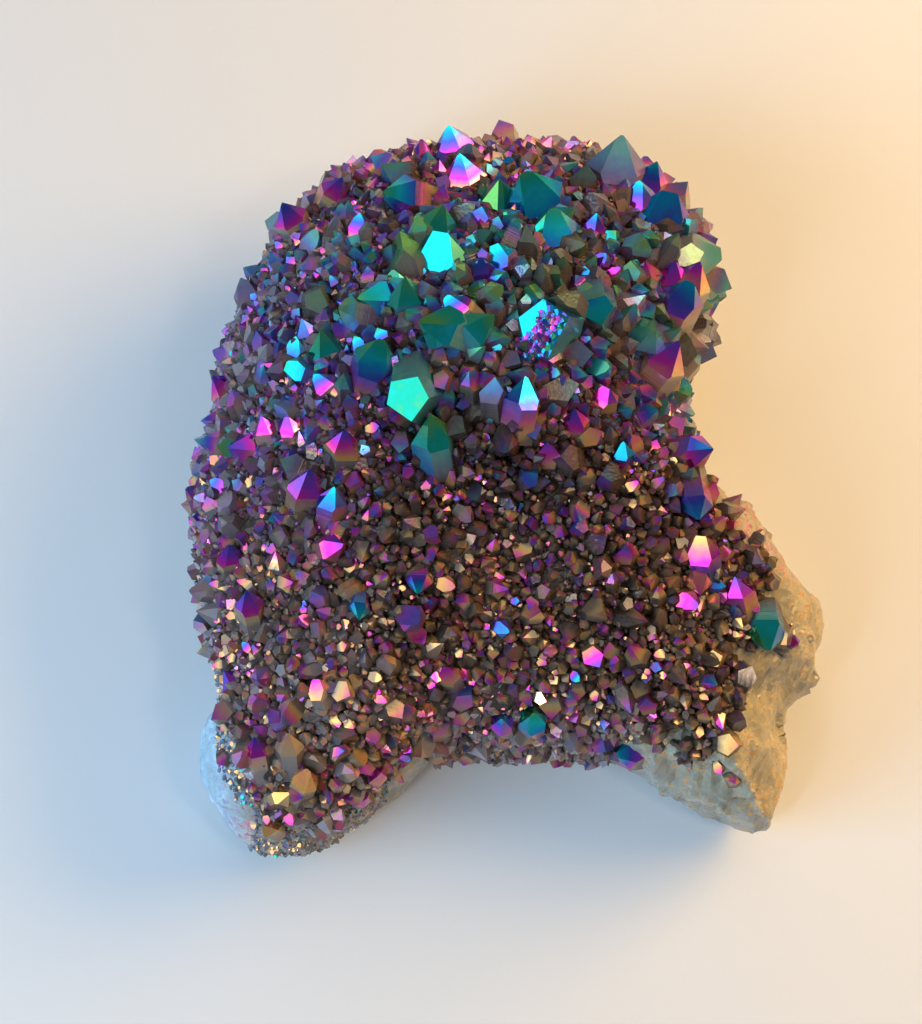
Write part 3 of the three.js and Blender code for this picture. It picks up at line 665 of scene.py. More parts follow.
def places(draw, on_bare):
    """Angle, lift, foot and normal of each place, width of bare rock, way inwards and whether bare."""
    angle, lift = draw[:, 0] * 2 * math.pi, np.arcsin(draw[:, 1] ** LIFT_POWER) * LIFT_SHARE
    if on_bare:
        angle, lift = GRAIN_ANGLES[0] + draw[:, 0] * np.ptp(GRAIN_ANGLES), draw[:, 1] * GRAIN_LIFT
    feet, normal = dome_point(angle, lift), dome_normal(angle, lift)
    radius, _, bare = rim_towards(angle)
    inwards = radius - np.hypot(feet[:, 0] - HEART[0], feet[:, 1] - HEART[1])
    waves = np.array([noise.noise(Vector(foot) * EDGE_PER_MM) for foot in feet])
    is_bare = (bare > LEAST_BARE) & (inwards < bare * (EDGE_USUAL + EDGE_RAGGED * waves))
    if on_bare:
        nearest = [rock_skin.find_nearest(Vector(foot)) for foot in feet]
        feet, normal = (np.array([found[k] for found in nearest]) for k in (0, 1))
    return angle, lift, feet, normal, bare, inwards, is_bare


print("rock faces to stand on:", len(rock.data.polygons))

# %% Leaning and flashing
FULL_TURN = 6.3
WINDOW_GLANCE = (-0.43, 0.06)
GLANCE_SPREAD = 0.13


def leaning(draw, angle, normal, lean):
    """Long axes that lean by chance from the normals, and where their main faces look."""
    aside = np.stack([-np.sin(angle), np.cos(angle), 0 * angle], axis=1)
    upslope = np.cross(normal, aside)
    turn, amount = draw[:, 3] * 2 * math.pi, lean * np.sqrt(draw[:, 4])
    axis = normal + aside * (np.cos(turn) * amount)[:, None] + upslope * (np.sin(turn) * amount)[:, None]
    spin = draw[:, 5] * FULL_TURN
    return unit(axis), aside * np.cos(spin)[:, None] + upslope * np.sin(spin)[:, None]


def flashing(draw, normal):
    """Long axes of crystals whose main faces mirror the window, and where those faces look."""
    u = WINDOW_GLANCE[0] + GLANCE_SPREAD * (2 * draw[:, 11] - 1)
    v = WINDOW_GLANCE[1] + GLANCE_SPREAD * (2 * draw[:, 12] - 1)
    glance = (u[:, None] * LOOK_RIGHT + v[:, None] * LOOK_UP
              + np.sqrt(1 - u**2 - v**2)[:, None] * LOOK_BACK)
    to_tip = unit(normal - (normal * glance).sum(axis=1)[:, None] * glance)
    return glance * math.cos(FACE_TO_AXIS) + to_tip * math.sin(FACE_TO_AXIS), glance


print("flashing faces look at, of the view:", WINDOW_GLANCE)

# %% Keep the large faces clear
FACE_MIDDLE, FACE_REACH = 0.36, 0.34
CLEAR_OF_FACE = 0.3


def seen_at(points):
    """Where points appear from the camera: u and v, in mm across the middle of the cluster."""
    towards = points - LOOK_AT
    nearer = LOOK_DISTANCE / (LOOK_DISTANCE - towards @ LOOK_BACK)
    return np.stack([towards @ LOOK_RIGHT * nearer, towards @ LOOK_UP * nearer], axis=1)


def main_face_middle(crystal):
    down_face = unit((crystal["axis"] @ crystal["face"]) * crystal["face"] - crystal["axis"])
    return crystal["tip"] + down_face * FACE_MIDDLE * crystal["width"]


face_middles = seen_at(np.array([main_face_middle(crystal) for crystal in largest]))
face_reaches = np.array([FACE_REACH * crystal["width"] for crystal in largest])


def hides_large(tips, width):
    """Whether each tip would stand in front of the main face of a large crystal."""
    apart_by = np.linalg.norm(seen_at(tips)[:, None] - face_middles[None], axis=2)
    return (apart_by < face_reaches[None] + CLEAR_OF_FACE * width[:, None]).any(axis=1)


print("faces kept clear:", len(face_middles))

# %% Grow one round
CHANCES, ROUND_SEED, CRYSTAL_SEED = 15, 500, 9000
# painted shade: one band across the middle is darker, because fewer of its crystals are coated and their
# quartz is painted darker
SHADED_BAND, BRIGHT_PATCH = (3, -7, 20, 7), (-4, -24, 15, 9)
DIM_FLASHES, BRIGHT_FLASHES, SHADED_BAND_COAT_DROP = 0.8, 1.6, 0.65
CREST_TALLER, CREST_COATED, BACK_LOWER = 0.25, 0.35, 0.32
SMALLEST, SPREAD, FEW_LARGE = 0.58, 0.80, 2.4
CALM_LIFT, RIM_SHARE, RIM_REST = 0.30, 0.72, 0.28
TALLEST, WIDEST = 4.0, 5.2
STEEPEST = math.radians(10)
ROOT_DEPTH, ROOT_MORE, GRAIN_ROOT = 1.0, 0.3, 0.4
FLASH_COAT, GRAIN_PALE = 0.85, 0.9
# least, and how much chance may add
STANDS, EDGES, DROPS = (0.6, 0.7), (0.7, 0.6), (0.08, 0.5)
STRONG_COAT, WEAK_COAT = (0.34, 0.45), (0.05, 0.18)
GRAIN_EDGE, WIDE_BARE = 3.0, 4
GOLD_GRAINS, GOLD_GRAIN, GREEN_GRAIN = 0.25, 0.10, 0.88
LEAST_Z, UNDER_FOOT = 0.7, 0.7
LOWEST, HIGHEST = np.array(cad_low) / MM - 0.5, np.array(cad_high) / MM + 0.5
SHAPE_CHANCES = {"point": 2, "chisel": 1, "broad": 1, "three": 4, "lone": 2}
chance_shapes = [SHAPES[name] for name, times in SHAPE_CHANCES.items() for _ in range(times)]


def between(span, chance):
    return span[0] + span[1] * chance


def grow(number, tries, share, spacing, lean, height, coated, flashes, on_bare):
    """The crystals of one round that found room."""
    # chance numbers: 0, 1 place; 2 width; 3, 4 lean; 5 main face; 6 height; 7, 14 coat; 8 steepness;
    # 9 shape; 10 how the film thins; 11, 12 glance; 13 flash, or colour of a grain
    draw = np.random.default_rng(ROUND_SEED + number).random((tries, CHANCES))
    angle, lift, feet, normal, bare, inwards, is_bare = places(draw, on_bare)
    x, y = feet[:, 0], feet[:, 1]
    in_shaded_band, bright = hill(SHADED_BAND, x, y), hill(BRIGHT_PATCH, x, y)
    crest = (usual_width(x, y) - CRUST_WIDTH) / CREST_EXTRA
    width = usual_width(x, y) * share * (SMALLEST + SPREAD * draw[:, 2] ** FEW_LARGE)
    width = np.minimum(width * (RIM_SHARE + RIM_REST * np.minimum(lift / CALM_LIFT, 1)), WIDEST)
    axis, face = leaning(draw, angle, normal, lean)
    turned, glance = flashing(draw, normal)
    may_flash = (lift > CALM_LIFT) | on_bare
    flashes = flashes * (1 - DIM_FLASHES * in_shaded_band) * (1 + BRIGHT_FLASHES * bright) * may_flash
    flash = (draw[:, 13] < flashes) & ((turned * normal).sum(axis=1) > UPRIGHT)
    axis[flash], face[flash] = turned[flash], glance[flash]
    height = height * (1 + CREST_TALLER * crest) * (1 - BACK_LOWER * at_back(y))
    stand = np.minimum(width * height * between(STANDS, draw[:, 6]), TALLEST)
    hidden = hides_large(feet + axis * stand[:, None], width)
    # painted shade: fewer crystals are coated in the darker band across the middle, so more dark bare quartz
    # shows there
    strong = (draw[:, 7] < coated * (1 - SHADED_BAND_COAT_DROP * in_shaded_band) * (1 + CREST_COATED * crest)) | flash
    coat = np.where(strong, between(STRONG_COAT, draw[:, 14]), between(WEAK_COAT, draw[:, 14]))
    coat = np.where(flash, FLASH_COAT, coat)
    film = np.where(draw[:, 13] < GOLD_GRAINS, GOLD_GRAIN, GREEN_GRAIN) if on_bare else [None] * tries
    found = []
    for i in range(tries):
        if hidden[i] or is_bare[i] != on_bare or not has_room(feet[i], width[i], spacing):
            continue
        if on_bare and bare[i] > WIDE_BARE and inwards[i] < GRAIN_EDGE * between(EDGES, draw[i, 9]):
            continue
        tip = feet[i] + axis[i] * stand[i]
        sunk = min(tip[2], feet[i][2]) - width[i] * UNDER_FOOT < LEAST_Z
        if sunk or (tip < LOWEST).any() or (tip > HIGHEST).any():
            continue
        taken.add(feet[i], width[i])
        found.append(dict(tip=tip, axis=axis[i], face=face[i], width=width[i], stand=stand[i],
                          root=GRAIN_ROOT if on_bare else ROOT_DEPTH + ROOT_MORE * width[i],
                          film=film[i], coat=coat[i], pale=GRAIN_PALE if on_bare else None,
                          steep=0 if flash[i] else STEEPEST * draw[i, 8], turn=0.0,
                          shape=chance_shapes[int(draw[i, 9] * 10)], drop=between(DROPS, draw[i, 10]),
                          draws=np.random.default_rng(CRYSTAL_SEED + i).random(12)))
    return found


print("a chance crystal may be", TALLEST, "mm tall and", WIDEST, "mm wide")

# %% Grow all the rounds
# piece, places tried, width as a share of the usual, spacing, lean, height in widths,
# share of them that is coated, share that flashes, on bare rock
ROUNDS = [
    ("usual_crystals", 16000, 1.00, 0.68, 1.05, 0.80, 0.66, 0.050, False),
    ("fine_crystals", 26000, 0.56, 0.64, 1.15, 1.00, 0.42, 0.085, False),
    ("finest_crystals", 36000, 0.34, 0.64, 1.20, 1.10, 0.25, 0.085, False),
    ("rock_grains", 4200, 0.32, 0.46, 1.20, 0.50, 0.35, 0.30, True),
]
crust = {"large_crystals": largest}
for number, (name, *how) in enumerate(ROUNDS):
    crust[name] = grow(number, *how)
    print(name + ":", len(crust[name]))

# %% [markdown]
# ## A druse on one face
# One large face on the crest went on growing as a carpet of tiny crystals. A bump map could suggest
# them, but they catch the light one by one, so they are real. They are strewn over the part of that
# face that lies away from its smooth corner, and stand nearly parallel to it.

# %% Druse on one large face
DRUSY_ROW = 14
DRUSE_TRIES, DRUSE_SEED, DRUSE_WIDTH, DRUSE_SPACING, DRUSE_LEAN = 2400, 77, 0.56, 0.52, 0.6
DRUSE_ALONG, DRUSE_ASIDE, FACE_WIDENS = 0.82, 0.5, 0.72
DRUSE_FILM = (0.48, 0.30)
SMOOTH_CORNER, SMOOTH_ALONG, SMOOTH_ASIDE = 3.4, 0.70, -0.35


def druse_on(crystal):
    draw = np.random.default_rng(DRUSE_SEED).random((DRUSE_TRIES, 8))
    axis, tip, wide, face = (crystal[k] for k in ("axis", "tip", "width", "face"))
    down = unit(-axis + (axis @ face) * face)
    beside = np.cross(face, down)
    found = []
    for a, b, c, d, e, f, g, h in draw:
        along, aside = wide * DRUSE_ALONG * a, wide * DRUSE_ASIDE * (2 * b - 1)
        to_corner = math.hypot(along - SMOOTH_ALONG * wide, aside - SMOOTH_ASIDE * wide)
        if abs(aside) > along * FACE_WIDENS + 0.1 or to_corner < SMOOTH_CORNER * between((0.8, 0.3), g):
            continue
        foot = tip + down * along + beside * aside
        width = DRUSE_WIDTH * between((0.7, 0.7), c)
        if any(np.linalg.norm(foot - known) < DRUSE_SPACING * width for known, _ in found):
            continue
        long_axis = unit(axis + DRUSE_LEAN * (2 * d - 1) * down + DRUSE_LEAN * (2 * e - 1) * beside)
        stand = width * between((0.24, 0.2), f)
        made = dict(tip=foot + long_axis * stand, axis=long_axis, face=face, width=width, stand=stand,
                    root=0.5, film=between(DRUSE_FILM, h), drop=0.3, coat=1.0, steep=0, turn=0.0,
                    shape=SHAPES["three"], draws=np.random.default_rng(len(found)).random(12))
        found.append((foot, made))
    crystal["smooth_at"] = tip + wide * (SMOOTH_ALONG * down + SMOOTH_ASIDE * beside)
    return [made for _, made in found]


crust["rock_grains"] += druse_on(largest[DRUSY_ROW])
print("druse and grains:", len(crust["rock_grains"]))

# %% [markdown]
# ## The film's thickness
# The coating metal arrived as vapour, mostly from above the crest, so the film is thickest there and
# thins out towards the skirts. It also differs from face to face, because each face met the vapour
# at its own slant. Every face of the mesh carries marks: its film, its share of coating, the long
# axis of its crystal and a few more. One material can then colour thousands of crystals.

# %% Film and paleness by place
FILM_CREST = (-3, 17, 22, 22)
FILM_SHOULDER = (22, 22, 12, 22)
FILM_LEFT = (-30, 6, 12, 26)
FILM_THINNEST = 0.16
FILM_HILLS = [(FILM_CREST, 0.48), (FILM_SHOULDER, 0.28), (FILM_LEFT, 0.20)]
# paleness is partly the pale grey of the quartz and partly painted light: a glow through thin crystals at
# the rim, and a painted haze that lightens the dark quartz on a few broad spots
PALE_REACH = 7.0
PALE_GLOW_SPOTS = [(FILM_CREST, 0.30), (FILM_LEFT, 0.75), (FILM_SHOULDER, 0.45), ((-24, -30, 12, 12), 0.70)]


def film_zone(x, y):
    return sum((more * hill(spot, x, y) for spot, more in FILM_HILLS), FILM_THINNEST)


def rimward(point):
    """1 at the rim of the crust, falling to 0 well inside it."""
    angle = np.array([math.atan2(point[1] - HEART[1], point[0] - HEART[0])])
    inwards = rim_towards(angle)[0][0] - math.hypot(point[0] - HEART[0], point[1] - HEART[1])
    return float(np.clip(1 - inwards / PALE_REACH, 0, 1))


def paleness_and_glow(point):
    """How pale the bare quartz may be here, partly its own pale grey and partly painted glow: most at the
    rim, some on a few broad spots.
    """
    return max(rimward(point), *(share * hill(spot, *point[:2]) for spot, share in PALE_GLOW_SPOTS))


print("film on the crest and at the front rim:", [round(float(film_zone(-3, y)), 2) for y in (17, -32)])

# %% Marks of each face
FILM_PER_MM, FILM_CHANCE, FILM_SLANT, FACE_CHANCE = 0.105, 0.14, 0.08, 0.05
# painted shade darkens the quartz in a band across the middle; the crest is a little darker, and each
# crystal's tone differs at random
PAINTED_BAND_SHADE, DIM_CREST, QUARTZ_UNEVEN = 0.5, 0.10, 0.6
MAIN_FACE = 1
SIDE_COAT, LARGE_SIDE_COAT, MAIN_FACE_COAT = 0.28, 0.55, 1.15
LARGE_REACH = 1.7
PATCHY, REACHES, COAT_REACHES, PALER = (0.7, 0.5), (0.95, 0.5), (0.4, 0.6), (0.6, 0.4)
VAPOUR_FROM = unit(np.array([-0.35, 0.3, 0.9]))
END_HEIGHT = 0.64
CHANCE_PRIMES = (7919, 104729, 1299709)


def face_marks(crystal, is_large, shown):
    """The marks of a crystal's faces; each face is given as its plane, its kind and where it looks."""
    axis, tip, wide = crystal["axis"], crystal["tip"], crystal["width"]
    own = np.random.default_rng(int(abs(tip @ CHANCE_PRIMES)) % 2**31)
    # painted shade in the band across the middle, slightly darker quartz on the crest, and a random tone for
    # each crystal
    tone_and_shade = 1 - PAINTED_BAND_SHADE * hill(SHADED_BAND, *tip[:2]) - DIM_CREST * hill(FILM_CREST, *tip[:2])
    tone_and_shade *= 1 + QUARTZ_UNEVEN * (own.random() - 0.5)
    has_own_film = crystal["film"] is not None
    film = crystal["film"]
    if not has_own_film:
        film = film_zone(tip[0], tip[1]) + FILM_PER_MM * crystal["stand"] + FILM_CHANCE * own.normal()
    # paleness: partly pale quartz, partly painted glow at the rim and on a few spots
    pale = crystal.get("pale") or paleness_and_glow(tip)
    share = {SIDE: LARGE_SIDE_COAT if is_large else SIDE_COAT, END: 1.0, ROOT_FACE: 0.0}
    for plane, kind, looks in shown:
        is_main, towards = plane == MAIN_FACE, looks @ VAPOUR_FROM
        is_drusy = is_main and "smooth_at" in crystal
        shade = 0 if is_main and has_own_film else FACE_CHANCE * own.normal()
        even = MAIN_FACE_COAT if is_large and is_main else np.clip(0.6 + 0.6 * towards, 0.2, 1)
        patchy = 1 if is_large and is_main else between(PATCHY, own.random())
        reach = wide * between(REACHES, own.random()) * between(COAT_REACHES, crystal["coat"])
        yield dict(film=film + FILM_SLANT * (towards - 0.5) + shade,
                   thins=crystal["drop"] * (1.25 - 0.5 * towards) / (END_HEIGHT * wide),
                   coat=share[kind] * crystal["coat"] * even * patchy,
                   bare_at=3 * wide if is_drusy else reach * (LARGE_REACH if is_large else 1.0),
                   kind=kind, tip_at=tip @ axis * MM,
                   pale=pale * (between(PALER, own.random()) if has_own_film else own.random()),
                   tone_and_shade=tone_and_shade, druse=float(is_drusy), axis=axis)


print("vapour came from:", VAPOUR_FROM.round(2))

# %% Meshes of crystals


def mark_faces(mesh, marks):
    """Stores a number or a vector on each face, under the name that the material reads."""
    for label, values in marks.items():
        values = np.array(values, float)
        kind, slot = ("FLOAT", "value") if values.ndim == 1 else ("FLOAT_VECTOR", "vector")
        mesh.attributes.new(label, kind, "FACE").data.foreach_set(slot, values.ravel())


def crystal_mesh(name, group):
    width, stand, root, steep, shape = (
        np.array([c[k] for c in group]) for k in ("width", "stand", "root", "steep", "shape"))
    draws = np.array([c["draws"] for c in group])
    normals, gaps, kinds = crystal_planes(width, stand + root, steep, shape, draws)
    points, faces, marks = [], [], []
    for crystal, planes, (corners, sides) in zip(group, normals, crystal_bodies(normals, gaps)):
        axis = crystal["axis"]
        across = unit(crystal["face"] - (crystal["face"] @ axis) * axis)
        across = across * math.cos(crystal["turn"]) + np.cross(axis, across) * math.sin(crystal["turn"])
        basis = np.stack([across, np.cross(axis, across), axis])
        first = len(points)
        points.extend(corners @ basis + crystal["tip"])
        faces += [[first + i for i in on] for _, on in sides]
        shown = [(plane, kinds[plane], planes[plane] @ basis) for plane, _ in sides]
        marks += face_marks(crystal, name.startswith("large"), shown)
    mesh = new_mesh(name, points, faces)
    mark_faces(mesh, {label: [face[label] for face in marks] for label in marks[0]})
    return mesh


print("crystals to make:", sum(len(crystals) for crystals in crust.values()))

# %% [markdown]
# ## Grow together
# Crystals of a druse have no gaps between them: they grew into each other and into the rock. A
# boolean union does the same and leaves one closed skin for each round. It is quick when a whole
# group of crystals is joined at once, and a group may be one operand only where none of its
# crystals touches another. The manifold solver keeps the marks on the faces.

# %% Join each round
REACH_CELL = 8
REACH_ROUND = 0.72


def apart(crystals):
    """Sorts crystals into groups in which none touches another, so that each is a clean solid."""
    groups = []
    for crystal in crystals:
        long = crystal["stand"] + crystal["root"]
        middle = crystal["tip"] - crystal["axis"] * long / 2
        reach = math.hypot(long / 2, crystal["width"] * REACH_ROUND)
        for group, cells in groups:
            if all(((m - middle) ** 2).sum() > (r + reach) ** 2 for m, r in cells.near(middle)):
                break
        else:
            group, cells = [], Cells(REACH_CELL)
            groups.append((group, cells))
        group.append(crystal)
        cells.add(middle, reach)
    return [group for group, _ in groups]


def grown_together(name, crystals):
    groups = apart(crystals)
    parts = [new_object(f"{name}_{n}", crystal_mesh(f"{name}_{n}", group)) for n, group in enumerate(groups)]
    unite(parts[0], parts[1:])
    mesh = applied(parts[0])
    for part in parts:
        bpy.data.objects.remove(part)
    mesh.transform(Matrix.Scale(MM, 4))
    mesh.calc_loop_triangles()
    triangles = len(mesh.loop_triangles)
    print(name + ":", len(crystals), "crystals in", len(groups), "groups,", triangles, "triangles")
    return new_object(name, mesh)


rounds = [grown_together(name, crystals) for name, crystals in crust.items()]

# %% [markdown]
# ## Colours of the bare rock
# Where the rock shows it is olive on its flats and grey on its steep walls. One ledge has a pearly
# skin, another a blush of red film, and the rock under the crust is painted nearly black, as painted
# shade in the gaps between the crystals. An image texture would have to be unwrapped over every
# break, so each face keeps its own colour, film and coating instead, worked out from where it lies
# and how steeply it is turned.

# %% Marks of the rock
OLIVE, GREY = (0.33, 0.29, 0.20), (0.38, 0.345, 0.30)
# the first colour is painted shade: the rock under the crust, seen only in gaps between crystals, is painted
# nearly black
UNDER_CRUST_SHADE, PEARL = (0.040, 0.028, 0.023), (0.52, 0.68, 0.78)
PEARL_LEDGE, BLUSH = (-34.5, -34, 6, 10), (30, -9, 8, 6)
GOLD_FILM, BLUSH_FILM, PEARL_FILM = 0.10, 0.20, 0.72
OPEN_MORE, OPEN_FADE = 1.0, 1.5
WALL_FROM, WALL_LESS_COAT, PEARL_LESS_COAT = 1.6, 0.55, 0.75


def rock_marks(mesh):
    """Bare colour, film and coating of each face of the rock."""
    middles, normals = np.empty(len(mesh.polygons) * 3), np.empty(len(mesh.polygons) * 3)
    mesh.polygons.foreach_get("center", middles)
    mesh.polygons.foreach_get("normal", normals)
    middles, steepness = middles.reshape(-1, 3), normals.reshape(-1, 3)[:, 2]
    x, y = middles[:, 0], middles[:, 1]
    radius, height, bare = rim_towards(np.arctan2(y - HEART[1], x - HEART[0]))
    inwards = radius - np.hypot(x - HEART[0], y - HEART[1])
    is_open = np.clip((bare + OPEN_MORE - inwards) / OPEN_FADE, 0, 1) * (bare > LEAST_BARE)
    is_open = np.maximum(is_open, np.clip((height + OPEN_MORE - middles[:, 2]) / OPEN_FADE, 0, 1))
    wall = np.clip(1 - WALL_FROM * steepness, 0, 1)
    pearl, blush = is_open * hill(PEARL_LEDGE, x, y), hill(BLUSH, x, y)
    # painted shade: rock under the crust is nearly black
    shares = ((1 - is_open, UNDER_CRUST_SHADE), (is_open * (1 - wall), OLIVE), (is_open * wall, GREY))
    colour = sum(np.outer(share, bare_colour) for share, bare_colour in shares)
    return {
        "bare": colour + pearl[:, None] * (np.array(PEARL) - colour),
        "film": GOLD_FILM + BLUSH_FILM * blush + PEARL_FILM * pearl,
        "coat": is_open * (1.0 - WALL_LESS_COAT * wall) * (1 - PEARL_LESS_COAT * pearl),
    }


mark_faces(rock.data, rock_marks(rock.data))
rock.data.transform(Matrix.Scale(MM, 4))
rock.data.calc_loop_triangles()
print(rock.name + ":", len(rock.data.loop_triangles), "triangles")

# %% [markdown]
# ## Building with nodes
# A material is a small program drawn as nodes and wires. Wiring each node by hand takes two or three
# lines, so a few helpers do it in one: they feed a socket with a wire, a number or a colour.

# %% Node helpers


def feed(tree, socket, value):
    """Gives a socket a wire, a number or a colour."""
    if isinstance(value, bpy.types.NodeSocket):
        tree.links.new(value, socket)
    else:
        socket.default_value = value


def feed_all(tree, made, **inputs):
    """Feeds a node's inputs by name; an underscore stands for a space."""
    for name, value in inputs.items():
        feed(tree, made.inputs[name.replace("_", " ")], value)
    return made


def add_node(tree, kind, group=None, **inputs):
    made = tree.nodes.new("ShaderNode" + kind)
    if group:
        made.node_tree = group
    return feed_all(tree, made, **inputs)


def math_node(tree, operation, *inputs, clamped=False):
    made = tree.nodes.new("ShaderNodeMath")
    made.operation, made.use_clamp = operation, clamped
    for slot, value in enumerate(inputs):
        feed(tree, made.inputs[slot], value)
    return made.outputs[0]


def vector_node(tree, operation, *inputs, scale=None):
    """The result of a vector sum: a number for a dot product or a distance, otherwise a vector."""
    made = tree.nodes.new("ShaderNodeVectorMath")
    made.operation = operation
    for slot, value in enumerate(inputs):
        feed(tree, made.inputs[slot], value)
    if scale is not None:
        feed(tree, made.inputs["Scale"], scale)
    return made.outputs["Value" if operation in ("DOT_PRODUCT", "DISTANCE") else "Vector"]


def mixed(tree, factor, low, high):
    """A colour between two colours, each a wire or three numbers."""
    made = tree.nodes.new("ShaderNodeMix")
    made.data_type = "RGBA"
    feed(tree, made.inputs["Factor"], factor)
    for slot, colour in ((6, low), (7, high)):
        feed(tree, made.inputs[slot], (*colour, 1) if isinstance(colour, tuple) else colour)
    return made.outputs[2]


def mark(tree, name, output="Fac"):
    """A mark that the faces carry."""
    made = tree.nodes.new("ShaderNodeAttribute")
    made.attribute_type, made.attribute_name = "GEOMETRY", name
    return made.outputs[output]


def new_group(name, takes, gives):
    """An empty node group, the sockets that bring values in and those that take results out."""
    group = bpy.data.node_groups.new(name, "ShaderNodeTree")
    for way, sockets in (("INPUT", takes), ("OUTPUT", gives)):
        for label, kind in sockets.items():
            group.interface.new_socket(label, in_out=way, socket_type="NodeSocket" + kind)
    return group, group.nodes.new("NodeGroupInput").outputs, group.nodes.new("NodeGroupOutput").inputs


print("node groups so far:", len(bpy.data.node_groups))

# %% [markdown]
# ## Colours of the film
# Light that bounces off the top and the bottom of a clear film adds up for one colour and cancels
# for others, and which one depends on the thickness. A ramp from thickness to colour gives the same
# row of colours. It is a node group, because the crystals and the bare rock both wear the film.

# %% The film group
FILM_COLOURS = [
    (0.00, (0.30, 0.22, 0.15)), (0.08, (0.72, 0.52, 0.22)), (0.17, (0.85, 0.44, 0.14)),
    (0.28, (0.82, 0.18, 0.28)), (0.38, (0.70, 0.035, 0.48)), (0.48, (0.27, 0.06, 0.64)),
    (0.59, (0.05, 0.09, 0.56)), (0.70, (0.01, 0.28, 0.64)), (0.80, (0.01, 0.50, 0.58)),
    (0.90, (0.012, 0.42, 0.31)), (1.00, (0.11, 0.42, 0.12)),
]
FILM_METAL = 0.95
BARE_ROUGHNESS, FILM_SMOOTHER = 0.20, -0.10


def film_group():
    """Colour, share of metal and roughness of a bare colour under the film."""
    group, given, out = new_group(
        "metal_film", {"Thickness": "Float", "Coating": "Float", "Bare colour": "Color"},
        {"Colour": "Color", "Metal": "Float", "Roughness": "Float"})
    ramp = add_node(group, "ValToRGB", Fac=given["Thickness"])
    stops = ramp.color_ramp.elements
    for place, _ in FILM_COLOURS[1:-1]:
        stops.new(place)
    for stop, (place, colour) in zip(stops, FILM_COLOURS):
        stop.position, stop.color = place, (*colour, 1)
    coating = given["Coating"]
    feed(group, out["Colour"], mixed(group, coating, given["Bare colour"], ramp.outputs["Color"]))
    feed(group, out["Metal"], math_node(group, "MULTIPLY", coating, FILM_METAL))
    feed(group, out["Roughness"], math_node(group, "MULTIPLY_ADD", coating, FILM_SMOOTHER, BARE_ROUGHNESS))
    return group


METAL_FILM = film_group()
print("film colours:", len(FILM_COLOURS))

# %% [markdown]
# ## Tiny tilted facets
# Broken rock and drusy quartz glitter, because thousands of facets too small to model each tilt
# their own way. Cells of Voronoi noise give every facet one tilt and one chance number. The group
# puts out a tilted normal, so it works for any material and costs no faces.

# %% The facet group
CELL_MIDDLE = (0.5, 0.5, 0.5)


def facet_group():
    """A normal tilted by chance from cell to cell, and the chance number of the cell."""
    group, given, out = new_group(
        "facet_tilt", {"Position": "Vector", "Scale": "Float", "Amount": "Float"},
        {"Normal": "Vector", "Chance": "Float"})
    cells = add_node(group, "TexVoronoi", Vector=given["Position"], Scale=given["Scale"]).outputs["Color"]
    either_way = vector_node(group, "SUBTRACT", cells, CELL_MIDDLE)
    tilt = vector_node(group, "SCALE", either_way, scale=given["Amount"])
    straight = add_node(group, "NewGeometry").outputs["Normal"]
    feed(group, out["Normal"], vector_node(group, "NORMALIZE", vector_node(group, "ADD", straight, tilt)))
    feed(group, out["Chance"], add_node(group, "SeparateXYZ", Vector=cells).outputs["X"])
    return group


FACET_TILT = facet_group()
print("groups:", [group.name for group in bpy.data.node_groups])

# %% [markdown]
# ## Coated crystal
# The film sits on smoky quartz, which is dark brown and a little clear, with milky streaks. The end
# faces took most of the metal and the sides less, and the film wears away in patches. One material
# reads the marks of the faces, so every crystal looks different without a material of its own.

# %% Film and coating of the crystals
DRIFT_SCALE, DRIFT = 520.0, 0.20
DRUSE_FROM, DRUSE_EDGE, DRUSE_UNEVEN = 0.0030, 0.0006, 0.5
PATCH_SCALE, PATCH_MORE, PATCH_LEAST = 900.0, 0.5, 0.72
FOOT_FADE = 1.7


def druse_cover(tree, where):
    """1 where the drusy face is grown over, 0 on its smooth corner and on all other faces."""
    gap = vector_node(tree, "DISTANCE", where, tuple(largest[DRUSY_ROW]["smooth_at"] * MM))
    past = math_node(tree, "SUBTRACT", gap, DRUSE_FROM)
    grown = math_node(tree, "DIVIDE", past, DRUSE_EDGE, clamped=True)
    return math_node(tree, "MULTIPLY", grown, mark(tree, "druse"))


def crystal_film(tree, where, depth, druse, chance):
    """Thickness of the film: it thins down each face, drifts a little and is uneven on the druse."""
    thinned = math_node(tree, "MULTIPLY", mark(tree, "thins"), depth)
    thinned = math_node(tree, "SUBTRACT", mark(tree, "film"), thinned)
    drift = add_node(tree, "TexNoise", Vector=where, Scale=DRIFT_SCALE, Detail=3.0).outputs["Fac"]
    drifting = math_node(tree, "MULTIPLY_ADD", drift, DRIFT, math_node(tree, "SUBTRACT", thinned, DRIFT / 2))
    uneven = math_node(tree, "MULTIPLY", math_node(tree, "SUBTRACT", chance, 0.5), druse)
    return math_node(tree, "MULTIPLY_ADD", uneven, DRUSE_UNEVEN, drifting)


def crystal_coating(tree, where, depth):
    """How much of the quartz the film covers: patchy, and none towards the foot."""
    patches = add_node(tree, "TexNoise", Vector=where, Scale=PATCH_SCALE, Detail=4.0).outputs["Fac"]
    spotty = math_node(tree, "MULTIPLY_ADD", patches, PATCH_MORE, PATCH_LEAST)
    left = math_node(tree, "SUBTRACT", 1.0, math_node(tree, "DIVIDE", depth, mark(tree, "bare_at")))
    faded = math_node(tree, "MULTIPLY", left, FOOT_FADE, clamped=True)
    spotty = math_node(tree, "MULTIPLY", mark(tree, "coat"), spotty)
    return math_node(tree, "MULTIPLY", spotty, faded, clamped=True)


print("the druse starts, mm:", DRUSE_FROM / MM, "from the smooth corner")

# %% [markdown]
# ## Quartz under the film
# Smoky quartz is full of faint milky streaks that run with the crystal, and its sides carry fine
# lines across the long axis, left by layers of growth. Noise that is stretched along the axis gives
# the streaks, and noise of one dimension along the axis gives the lines as a bump.

